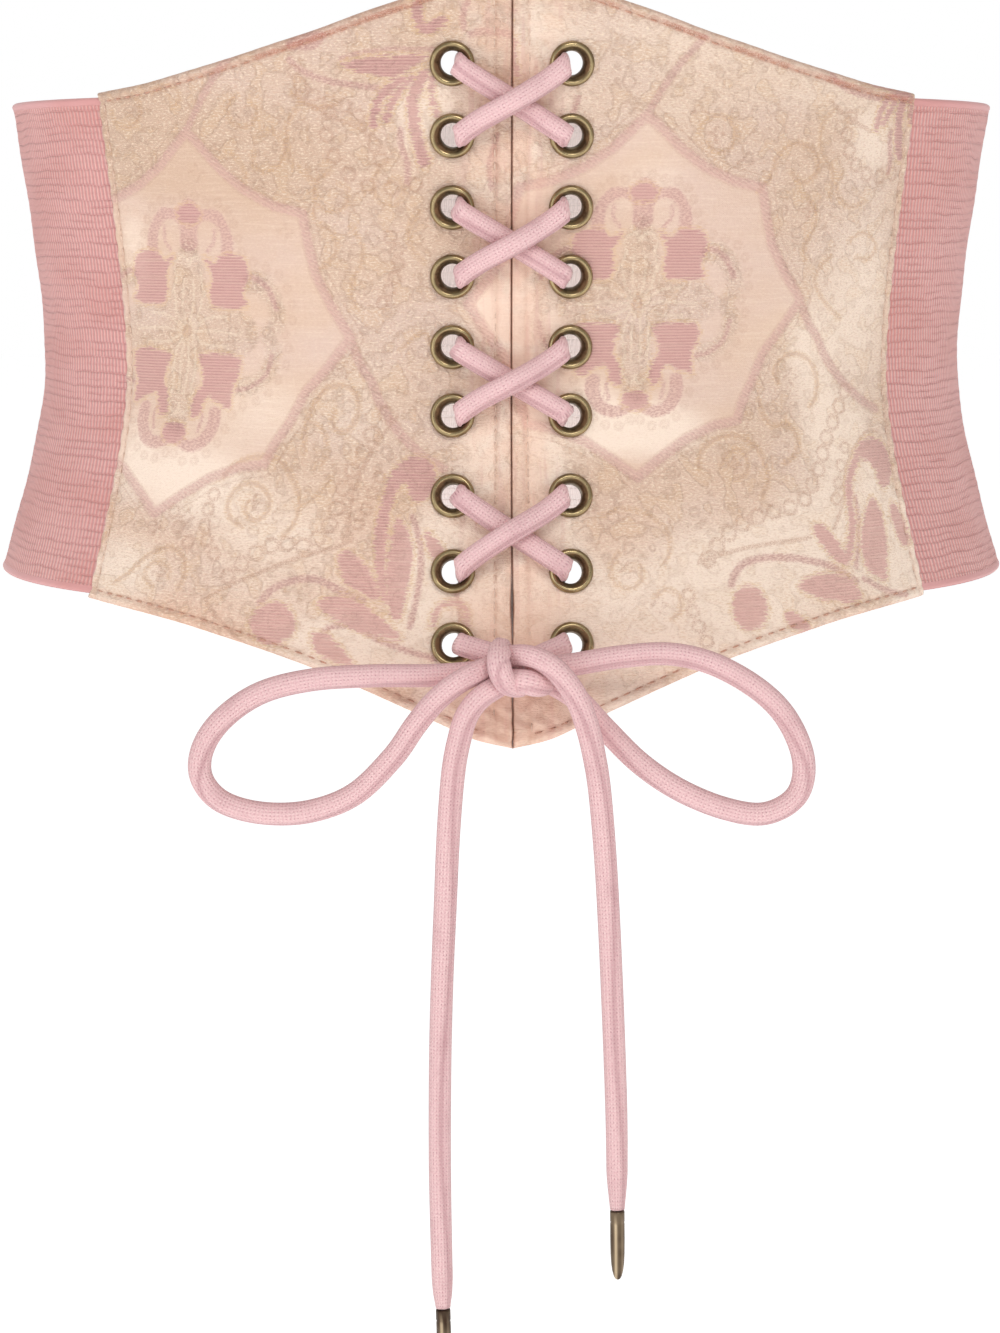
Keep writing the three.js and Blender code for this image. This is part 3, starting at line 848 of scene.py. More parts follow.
archShapes = [
    ("rings", 1.75, [
        (-5.3, 35.3), (-8.6, 30.1), (-10.4, 25.5), (-12.9, 21), (-14.8, 16.6), (-16.1, 11.6),
        (-17.5, 7.5), (-20.1, 4.2), (-23.6, 2.1), (-27.6, 2.5), (-31.6, 1.9), (-35.4, 0),
        (-38.6, -2.9), (-41.7, -6),
    ]),
    ("rings", 1.3, [(-6.1, 19.4), (-7.6, 15.5), (-8.8, 11.5), (-10.5, 7.9), (-12.9, 4.6)]),
    ("rings", 1.5, [
        (-48.8, 14), (-49.8, 10.2), (-50, 6.2), (-48.8, 2.6), (-46.3, -0.8), (-59.5, 9.2),
        (-57.5, 5.3), (-53.9, 1.8),
    ]),
    ("gold", 0.5, [
        (-25.6, 25.1), (-25.9, 28.8), (-25.4, 32.6), (-23.8, 36.8), (-21.5, 40.6), (-18.2, 42.3),
        (-14.6, 41.9), (-12.5, 39), (-12.4, 35), (-14, 31.5), (-17, 30.7), (-18.9, 32.9),
        (-18.3, 35.9),
    ]),
    ("gold", 0.5, [
        (-46.7, 18.8), (-43.5, 21.9), (-39, 23.8), (-34.7, 23.9), (-30.9, 22.3), (-28.2, 18.9),
        (-26.3, 15.3), (-25.6, 11.6), (-26.6, 7.2), (-29.3, 4.2),
    ]),
    ("gold", 0.5, [
        (-39.9, 6.2), (-43.5, 8.5), (-44.6, 12.2), (-42.9, 15.5), (-39.6, 17.1), (-36, 16.2),
        (-33.5, 13.3), (-33.9, 9.9), (-36.5, 8.1), (-39.4, 9.7), (-39.5, 12.4),
    ]),
    ("gold", 0.5, [
        (-73.5, -9.8), (-69.7, -7.2), (-66.3, -3.5), (-62.7, -1), (-58.2, 0.1), (-54.6, -2),
        (-53.3, -5.9), (-54.4, -9.9),
    ]),
    ("gold", 0.4, [
        (-61.8, -9.9), (-64.4, -7.6), (-64.1, -5.1), (-61.5, -3.6), (-58.3, -4.7), (-57.5, -7.4),
    ]),
    ("gold", 0.4, [(-82, -3.9), (-80.4, 0), (-78.7, 4), (-79.3, 8.5), (-81.8, 11.9)]),
    ("gold", 0.4, [(-21, 21.6), (-19.7, 25.3), (-20.2, 29), (-22.2, 31.9), (-24.9, 32.8)]),
    ("gold", 0.4, [(-18.2, 19.2), (-20, 16.2), (-22.3, 13.7), (-25.2, 12.1)]),
    ("gold", 0.4, [(-1.6, 51.4), (1.4, 54.4), (4.6, 55.6), (5.8, 52.7)]),
    ("flower", 1.6, [(-55.4, 7.9), (-15.6, 46.3), (-64.6, 5), (-37.2, 12.6), (-60.6, -6.4)]),
]
leftScrolls = [
    ("gold", 0.4, [
        (-31.1, 51.3), (-33.1, 47.7), (-32.6, 43.8), (-29.5, 41.8), (-26.3, 43.3), (-25.7, 46.7),
        (-27.6, 48.6), (-29.8, 47.2),
    ]),
    ("gold", 0.4, [
        (-43.2, 50.1), (-46.3, 48.2), (-47.8, 44.8), (-46.2, 41.3), (-42.8, 40.4), (-39.7, 42.3),
        (-39.3, 45.7), (-41.4, 47.2),
    ]),
    ("gold", 0.4, [
        (-39, 36.7), (-36.7, 33), (-36.4, 28.6), (-38.6, 24.4), (-39.7, 20.2), (-38.4, 16.3),
    ]),
    ("gold", 0.4, [(-47, 37.4), (-44, 35.5), (-42.7, 31.8), (-44.4, 28.1), (-47.1, 26.1)]),
    ("gold", 0.4, [(-21.9, 40.4), (-24.3, 37.4), (-24.9, 33.5), (-23.6, 30.1), (-21.2, 27.7)]),
    ("gold", 0.4, [
        (-65.4, 69.2), (-68.3, 66.4), (-68.1, 62.9), (-65.1, 61), (-61.6, 62.4), (-60.6, 65.3),
        (-62.5, 67.3),
    ]),
    ("gold", 0.4, [
        (-58, 60.4), (-55.1, 57.9), (-54.7, 54.3), (-56.7, 51.1), (-60.4, 50.2), (-62.8, 52.1),
        (-62.5, 55.1),
    ]),
    ("gold", 0.4, [(-69.4, 55.1), (-66.4, 52.6), (-65.2, 49.2), (-66, 45.8)]),
    ("gold", 0.4, [(-51.8, 69.1), (-49.1, 66.6), (-45.2, 65.6), (-41.3, 66.6)]),
    ("gold", 0.4, [
        (-95.2, 69.8), (-93.2, 66.8), (-94.3, 63.3), (-97.8, 61.4), (-101.6, 62.5), (-102.5, 65.5),
    ]),
    ("gold", 0.4, [(-89, 70.2), (-85.3, 71.6), (-82, 70.5), (-81.2, 68), (-83.7, 66.1)]),
    ("rings", 1.4, [
        (-29.3, 34), (-27.9, 30.8), (-27.6, 27.4), (-28.6, 24), (-30.2, 20.8), (-31.8, 17.6),
    ]),
    ("rings", 1.5, [
        (-51, 74.4), (-49.3, 71), (-46.5, 68.5), (-42.7, 67), (-39, 66.1), (-35.8, 63.6),
        (-33.6, 60.2), (-32.3, 56.4), (-31, 53),
    ]),
]
rightScrolls = [
    ("gold", 0.4, [
        (44.5, 59.9), (46.3, 62.8), (49.7, 63.8), (53.2, 61.9), (54.2, 58.5), (52.4, 55.5),
        (48.9, 55), (47.2, 57.5),
    ]),
    ("gold", 0.5, [
        (61.2, 45.3), (64.1, 49), (65.3, 53.2), (67.8, 56.2), (71.5, 57.2), (75.8, 55.2),
        (77.4, 51.5), (75.4, 48.3), (72, 47.8), (69.8, 50.2),
    ]),
    ("gold", 0.4, [(72.3, 45.3), (76.1, 42.8), (78.3, 39.3), (77.5, 35.3), (75.5, 31.8), (76, 27.8)]),
    ("gold", 0.4, [(83.8, 29), (81, 26.5), (79.5, 22.8), (81.8, 18.9), (85.3, 15.6), (88.8, 13)]),
    ("gold", 0.4, [(85.1, 50.3), (83.4, 46.8), (85.1, 43.3), (89.2, 41.3), (93, 42.8)]),
    ("gold", 0.4, [
        (89.1, 32.8), (92.9, 34.8), (97.2, 33.7), (99.1, 30.6), (96.6, 28.1), (92.4, 28.7),
    ]),
    ("gold", 0.5, [
        (70, -3.5), (68.9, 0.3), (71.2, 3.3), (75.3, 4.2), (79.7, 2), (81.7, -2.1), (81.5, -6.4),
        (79.4, -9.6),
    ]),
    ("gold", 0.5, [
        (64.1, -7.1), (65, -10.9), (67.6, -14.2), (72.3, -13.9), (74.6, -17.5), (73.7, -21.5),
        (69.9, -23.8),
    ]),
    ("gold", 0.5, [
        (46.5, -24), (47.3, -20.3), (50.2, -17.7), (54.6, -16.3), (59.2, -17), (63, -20.1),
        (64.7, -24.1), (64.7, -28.6), (62.5, -32),
    ]),
    ("gold", 0.5, [
        (52.2, -24.2), (54.2, -20.8), (58, -19.9), (59.9, -23), (58.4, -26.4), (55.1, -27.2),
    ]),
    ("rings", 1.75, [
        (90.7, -5.9), (88.4, -9.9), (85.9, -13.9), (83.4, -17.8), (81.5, -21.8), (79.6, -25.7),
        (77.1, -29.6), (74.2, -33), (69.9, -34.8), (65.3, -35.6), (60.8, -36.6), (56.6, -38.2),
        (52.7, -40.5), (49.2, -43.5), (46.4, -46.8),
    ]),
    ("rings", 1.4, [
        (88.8, -20.6), (86.7, -25.1), (85.1, -29.5), (83.7, -33.5), (40.8, -55.2), (41.4, -59.1),
        (42.4, -63), (43.9, -66.7),
    ]),
    ("gold", 0.4, [
        (25.1, -44.3), (23, -47.9), (23.7, -51.8), (26.9, -53.3), (29.8, -51.4), (30, -48),
    ]),
    ("gold", 0.4, [(32.5, -55.4), (35.8, -53.5), (38.4, -55.6), (38.6, -59), (36.1, -60.8)]),
    ("gold", 0.4, [
        (20.8, -35.7), (25.7, -33.8), (31.7, -34.9), (36.3, -38.5), (37.6, -43.4), (35.3, -47.7),
    ]),
    ("flower", 1.6, [(56.2, -23.6), (73.8, -1.6), (49.2, 59.2), (33.6, -57.4), (27, -48.8)]),
]
upperShapes = [
    ("pink", "fill", [
        (-6.8, -1), (-4.3, -0.2), (-0.5, 0.6), (4.4, 0.9), (9.3, 1.1), (13.5, 0.7), (12, -0.5),
        (9.2, -2.1), (5.5, -4.3), (3, -4), (-0.7, -3.2), (-4.1, -2.3),
    ]),
    ("blush", 0.5, [(-6.7, 0.3), (-2.9, 1.5), (1.4, 2.2), (5.7, 2.6), (9.9, 2.5), (14.5, 2.4)]),
    ("blush", 0.7, [(-19.1, 0.4), (-17, -1.9), (-13.3, -3.8), (-8.9, -5.2), (-3.9, -6), (1.7, -6.8)]),
    ("pink", 0.85, [(7.3, -4.8), (4.1, -6.8), (1.9, -9.3), (0.7, -12.3), (0.2, -15.5)]),
    ("pink", 0.75, [(9.8, -4.2), (7.2, -6.9), (5, -10), (3.2, -14.2)]),
    ("pink", 1.25, [
        (12.5, -3.6), (10.9, -6.1), (9.7, -9.8), (9.6, -14.2), (10.3, -18.1), (11.4, -22.6),
        (12, -24.5),
    ]),
    ("pink", 0.65, [(14.3, -4.4), (14, -7.2), (14.5, -10.4), (15.4, -13.6)]),
    ("blush", 0.7, [(6.6, -16.8), (6.6, -20.6), (7.9, -25.2), (7.8, -29.7)]),
    ("blush", "fill", [
        (-19.5, 4.6), (-17.1, 6.1), (-13.2, 7), (-10.1, 6.5), (-10.9, 4.5), (-12.9, 2.7),
        (-16.1, 2.5), (-19, 2.7),
    ]),
    ("pink", 1.1, [(11.4, 13.2), (11.3, 10.6), (12.2, 7.7), (14, 7.3), (15.5, 8.6), (17, 9.3)]),
    ("blush", 0.7, [(22.7, 13.7), (21.5, 10.5), (21.8, 7.4)]),
    ("blush", 0.8, [(23.2, 6.1), (26.2, 6.6), (29.8, 6.4), (32.2, 6)]),
    ("blush", 0.6, [(29.2, -18.1), (28.2, -22), (27.3, -25.8), (27.9, -31)]),
    ("line", 0.4, [(-18.7, -7.9), (-15, -10.6), (-11, -12.8), (-6.3, -15.1), (-1.9, -16.8)]),
    ("rings", 1.6, [
        (-10.4, -12.6), (-11.2, -18), (-9.6, -23.2), (-6.4, -27.6), (-1.6, -30.4), (4, -31.2),
        (9.6, -30.2),
    ]),
    ("gold", 0.4, [(-17, -10), (-21, -16), (-20, -24), (-15, -30), (-15.6, -38)]),
    ("flower", 1.7, [(-46, -27), (-23, -41.6), (-62, -12)]),
]
# Where each group of shapes lies: its middle, and one step across and up the cloth
placements = {
    -1: [
        (medallionShapes, (-85.7, 10), (1.03, -0.04), (0.13, 1.08)),
        (medallionShapes, (33.4, 17), (1.0, 0.0), (0.05, 1.0)),
        (leafShapes, (-25.9, -45.4), (1, 0), (0, 1)),
        (leafShapes, (-145.9, -50), (1, 0), (0, 1)),
        (archShapes, (-25.9, -45.4), (1, 0), (0, 1)),
        (upperShapes, (-32.6, 77), (1, 0), (0, 1)),
        (leftScrolls, (0, 0), (1, 0), (0, 1)),
    ],
    1: [
        (medallionShapes, (31.4, 17.5), (1, 0), (0.02, 1)),
        (medallionShapes, (151.4, 24), (1, 0), (0, 1)),
        (rightLeafShapes, (0, 0), (1, 0), (0, 1)),
        (leafShapes, (-27, -48), (1, 0), (0, 1)),
        (rightScrolls, (0, 0), (1, 0), (0, 1)),
        (upperShapes, (94, 74), (0.8, 0), (0, 0.8)),
        (upperShapes, (-14, 86), (1, 0), (0, 1)),
    ],
}
# Soft patches of painted light or, below nought, painted shade on the cloth: middle, half sizes and
# strength
paintedLightPatches = {
    -1: [
        (-64, -10, 13, 8, 0.5), (-84, -28, 14, 8, 0.9), (-101, -22, 5, 9, 0.6), (-18, -52, 7, 16, 1),
        (-34, -68, 16, 6, 1), (-100, 32, 4, 10, 0.6), (-22, 64, 6, 9, 0.7), (-13, 74, 5, 20, 0.5),
        (-8, -12, 6, 30, 0.5), (-60, -36, 16, 9, 0.5), (-38, -8, 8, 12, 0.4), (-98, -52, 12, 8, 0.8),
        (-8, -66, 10, 18, 0.7), (-9, -86, 14, 9, 0.9), (-52, -52, 22, 12, 0.45),
        (-78, 56, 34, 12, -0.8), (-96, 62, 14, 14, -0.7), (-58, 44, 18, 12, -0.4),
        (-74, 26, 18, 10, -0.25), (-28, 88, 20, 7, -0.35), (-5, 20, 6, 70, 0.55),
    ],
    1: [
        (33, -14, 14, 6, 1), (20, -10, 6, 8, 0.7), (58, -47, 12, 6, 1), (74, -40, 10, 6, 0.7),
        (104, -52, 6, 14, 1), (66, 4, 9, 12, 0.2), (96, -46, 9, 12, 0.5), (80, 8, 8, 8, 0.4),
        (8, 74, 8, 12, 0.7), (92, 58, 6, 6, 0.6), (8, -40, 7, 26, 0.7), (10, -84, 16, 10, 0.95),
        (12, -60, 12, 16, 0.5), (80, 0, 6, 8, 0.5), (34, 46, 8, 6, 0.4), (84, -14, 8, 8, 0.7),
        (30, -62, 26, 14, 0.6), (62, -58, 24, 12, 0.5), (88, -28, 10, 12, 0.5), (70, 58, 20, 6, -0.5),
        (60, 44, 20, 8, -0.25), (92, 38, 14, 10, -0.2), (40, 74, 24, 6, -0.2), (5, 20, 6, 70, 0.6),
        (98, 4, 8, 30, 0.35), (52, -34, 30, 8, 0.2), (88, 50, 16, 30, 0.4), (50, 72, 30, 16, 0.4),
        (92, 18, 12, 20, 0.35), (44, -56, 16, 16, 0.35), (44, 82, 26, 10, 0.3),
        (90, -40, 18, 20, 0.3),
    ],
}


def segmentDistance(points, starts, ends):
    nearest = np.full(len(points), 1e9)
    inside = np.zeros(len(points), bool)
    for start, end in zip(starts, ends):
        edge = end - start
        share = np.clip(((points - start) @ edge) / max(edge @ edge, 1e-9), 0, 1)
        climb = edge[1] if edge[1] else 1e-9
        nearest = np.minimum(nearest, np.hypot(*(points - start - share[:, None] * edge).T))
        crosses = (start[1] > points[:, 1]) != (end[1] > points[:, 1])
        run = edge[0] * (points[:, 1] - start[1]) / climb + start[0]
        inside ^= crosses & (points[:, 0] < run)
    return nearest, inside


# A point with no charted shape near it counts as this far away
unchartedDistance = 6.0


# Signed distances to the charted shapes for every point of the cloth, negative inside a shape
class Chart:
    def __init__(self, points):
        self.points = points
        names = ("frame", "band", "pink", "blush", "line", "gold", "filigree")
        self.fields = {name: np.full(len(points), unchartedDistance) for name in names}

    def near(self, line, reach):
        low = line.min(0) - reach
        high = line.max(0) + reach
        return np.all((self.points > low) & (self.points < high), axis=1)

    def lower(self, field, where, distance):
        self.fields[field][where] = np.minimum(self.fields[field][where], distance)

    def fill(self, field, outline):
        where = self.near(outline, unchartedDistance)
        distance, inside = segmentDistance(self.points[where], outline, np.roll(outline, -1, 0))
        self.lower(field, where, np.where(inside, -distance, distance))

    def stroke(self, field, line, halfWidth):
        where = self.near(line, 4)
        distance, _ = segmentDistance(self.points[where], line[:-1], line[1:])
        self.lower(field, where, distance - halfWidth)

    def ring(self, field, middle, radius, halfWidth):
        where = self.near(middle[None], radius + 4)
        reach = np.hypot(*(self.points[where] - middle).T)
        self.lower(field, where, np.abs(reach - radius) - halfWidth)

    def flower(self, middle, radius):
        where = self.near(middle[None], radius + 4)
        offset = self.points[where] - middle
        petals = radius * (0.75 + 0.45 * np.cos(4 * np.arctan2(offset[:, 1], offset[:, 0])))
        self.lower("line", where, np.abs(np.hypot(*offset.T) - petals) - 0.3)

    def draw(self, shapes, middle, across, up):
        axes = np.array([across, up], float)
        for field, how, points, *marks in shapes:
            for flip in (1, -1) if "mirror" in marks else (1,):
                placed = (np.array(points, float) * (flip, 1)) @ axes + np.array(middle)
                if field in ("rings", "flower"):
                    for spot in placed:
                        if field == "rings":
                            self.ring("line", spot, how, 0.28)
                        else:
                            self.flower(spot, how)
                elif how == "fill":
                    outline = placed if "sharp" in marks else splineThrough(placed, 5, closed=True)
                    self.fill(field, outline)
                else:
                    self.stroke(field, splineThrough(placed, 5), how)


def softly(values, low, high):
    share = np.clip((values - low) / (high - low), 0, 1)
    return share * share * (3 - 2 * share)


def bell(values, middle, spread):
    return np.exp(-(((values - middle) / spread) ** 2))


# How far a rounded edge falls away at this distance from it
def fallAt(nearest, radius):
    rounding = np.clip(radius - nearest, 0, radius)
    return radius - np.sqrt(radius**2 - rounding**2)


# Mesh rows crowd together at these distances from an edge
edgeSteps = np.array([0, 0.25, 0.6, 1.0, 1.5, 2.1, 2.8])


def crowded(count, length):
    near = edgeSteps / length
    middle = np.linspace(near[-1], 1 - near[-1], count + 1 - 2 * (len(near) - 1))
    return np.concatenate([near[:-1], middle, 1 - near[:-1][::-1]])


# A solidified grid keeps one face at nought, and the other lies one above or below it
def onOuterFace(shares):
    depth = np.round(np.abs(shares[:, 2]))
    return depth == (0 if shares[:, 2].min() < -0.5 else 1)


def seamGrooves(centreEdge, sideEdge, endEdge):
    grooves = bell(endEdge, panel["sideGroove"], 0.5)
    grooves = np.maximum(grooves, bell(sideEdge, panel["sideGroove"], 0.5))
    return np.maximum(grooves, bell(centreEdge, panel["centreGroove"], 0.55))


# How far the cloth stands out: ripples along the hems, a slow drift, the hems' own rise, the
# wrinkled lower tip and a pucker round each eyelet
def clothLift(side, arc, level, centreEdge, sideEdge, endEdge):
    nearest = np.minimum.reduce([centreEdge * 3, sideEdge, endEdge])
    besideEdge = np.minimum(centreEdge, sideEdge)
    ripple = np.sin(level * 1.21 + 1.7 * np.sin(arc * 0.9)) * np.exp(-besideEdge / 4)
    ripple += np.sin(arc * 1.33 + 1.3 * np.sin(level * 0.21)) * np.exp(-endEdge / 4)
    drift = np.sin(arc * 0.085 + 0.7 * side + 1.2 * np.sin(level * 0.06))
    drift = drift + 0.6 * np.sin(level * 0.11 + arc * 0.05) + 0.4 * np.sin(arc * 0.21 - level * 0.13)
    lift = panel["ripple"] * ripple + panel["drift"] * drift * softly(nearest, 2, 12)
    lift -= panel["grooveDepth"] * seamGrooves(centreEdge, sideEdge, endEdge)
    lift += panel["hemRise"] * bell(nearest, 1.2, 0.8)
    tipShare = bell(level, -88, 11) * np.exp(-np.abs(arc) / 20)
    wrinkle = np.sin(arc * 1.2 + 1.6 * np.sin(level * 0.9 + side) + 0.5 * level)
    lift += panel["tipWrinkle"] * tipShare * wrinkle
    for seat in seats[side]:
        aside = arc - arcAt(seat["angle"])
        above = level - seat["level"]
        near = np.exp(-np.clip(np.hypot(aside, above) - 5, 0, None) / 2.6)
        pucker = np.sin(7 * np.arctan2(above, aside) + seat["level"])
        lift += near * (panel["pucker"] * pucker - panel["sunk"])
    return lift


# The charted shapes as attributes of the outer face, and plain cloth on the inner one
def chartPattern(mesh, side, points, outerFace):
    chart = Chart(points[outerFace])
    for placement in placements[side]:
        chart.draw(*placement)
    strip = np.abs(chart.fields["frame"]) - panel["stripHalfWidth"]
    chart.fields["band"] = np.minimum(chart.fields["band"], strip)
    # Painted light and painted shade from the patches, kept in the light attribute
    light = np.zeros(len(chart.points))
    for across, up, halfAcross, halfUp, strength in paintedLightPatches[side]:
        offset = (chart.points - (across, up)) / (halfAcross, halfUp)
        light += strength * np.exp(-0.5 * (offset[:, 0] ** 2 + offset[:, 1] ** 2) ** 1.5)
    chart.fields["light"] = np.clip(light, -1, 1)
    for field, values in chart.fields.items():
        everywhere = np.full(len(points), 0.0 if field == "light" else unchartedDistance)
        everywhere[outerFace] = values
        addAttribute(mesh, field, everywhere)


def panelPiece(side, finish):
    gapAngle = panel["seenGap"] / 2 / waist["halfWidth"]
    start, stop = (-panel["seamAngle"], -gapAngle) if side < 0 else (gapAngle, panel["seamAngle"])
    acrossShares = crowded(panel["columns"], panel["meshWidth"])
    upShares = crowded(panel["rows"], panel["meshHeight"])

    def flatPlace(x, y):
        across = np.interp(x, np.linspace(0, 1, len(acrossShares)), acrossShares)
        angle = start + across * (stop - start)
        top, bottom = panelEdges(angle)
        up = np.interp(y, np.linspace(0, 1, len(upShares)), upShares)
        return angle, bottom + up * (top - bottom), top, bottom

    bm = gridBm(panel["columns"], panel["rows"])
    flat = np.array([vert.co[:2] for vert in bm.verts]) + 0.5
    angle, level, _, _ = flatPlace(flat[:, 0], flat[:, 1])
    arc = arcAt(angle)
    holes = np.zeros(len(flat), bool)
    for seat in seats[side]:
        holes |= np.hypot(arc - arcAt(seat["angle"]), level - seat["level"]) < panel["holeRadius"]
    bm.verts.ensure_lookup_table()
    bmesh.ops.delete(bm, geom=[bm.verts[i] for i in np.flatnonzero(holes)], context="VERTS")
    bmesh.ops.solidify(bm, geom=bm.faces[:], thickness=1)
    bm.normal_update()
    name = "brocade_left" if side < 0 else "brocade_right"
    piece = finished(bm, name, finish)
    shares = verticesOf(piece.data)
    outerFace = onOuterFace(shares)
    angle, level, top, bottom = flatPlace(shares[:, 0] + 0.5, shares[:, 1] + 0.5)
    arc = arcAt(angle)

    centreEdge = np.abs(arc) - arcAt(gapAngle)
    sideEdge = arcAt(panel["seamAngle"]) - np.abs(arc)
    topEdge = (top - level) * panel["topSlope"]
    endEdge = np.minimum(topEdge, (level - bottom) * panel["bottomSlope"])
    nearest = np.minimum.reduce([centreEdge * 3, sideEdge, endEdge])
    fall = fallAt(nearest, panel["edgeRound"])
    lift = clothLift(side, arc, level, centreEdge, sideEdge, endEdge)
    outward = np.where(outerFace, panel["thickness"] - fall + lift, 0.55 * fall)
    slit = panel["slit"] * bell(level, panel["slitLevel"], 4.5) * np.exp(-centreEdge / 2.5) * outerFace
    moveVertices(piece.data, waistPoint(angleOfArc(arc + side * slit), level, outward))

    chartPattern(piece.data, side, np.stack([arc, level], -1), outerFace)
    addAttribute(piece.data, "cloth", np.stack([arc, level, np.where(outerFace, 1.0, 0.0)], -1))
    addAttribute(piece.data, "hem", nearest)
    addAttribute(piece.data, "topHem", topEdge)
    addAttribute(piece.data, "middle", centreEdge)
    # Seam grooves, kept for their painted shade
    addAttribute(piece.data, "seam", seamGrooves(centreEdge, sideEdge, endEdge) * outerFace)
    return piece


# Tones and weave of the brocade
brocadeTones = {
    "satin": tone(227, 197, 181),
    "peach": tone(225, 192, 169),
    "cream": tone(252, 230, 212),
    "shade": tone(216, 182, 158),
    "thread": tone(251, 228, 204),
    "tan": tone(218, 181, 154),
    "gold": tone(224, 186, 144),
    "apricot": tone(244, 192, 164),
    "pink": tone(196, 143, 139),
    "pinkRib": tone(221, 176, 166),
    "petal": tone(224, 160, 154),
    "petalRib": tone(252, 212, 196),
    "glow": tone(250, 198, 170),
    "mauve": tone(200, 154, 145),
    "taupe": tone(190, 143, 118),
    "hem": tone(190, 120, 100),
    "seamAndEdgeShade": tone(190, 132, 104),
    "creviceShade": tone(172, 122, 100),
    "lining": tone(226, 205, 190),
}
# Pitches in millimetres
weave = {"rib": 0.74, "twill": 1.6, "warp": 0.55, "weft": 0.5}


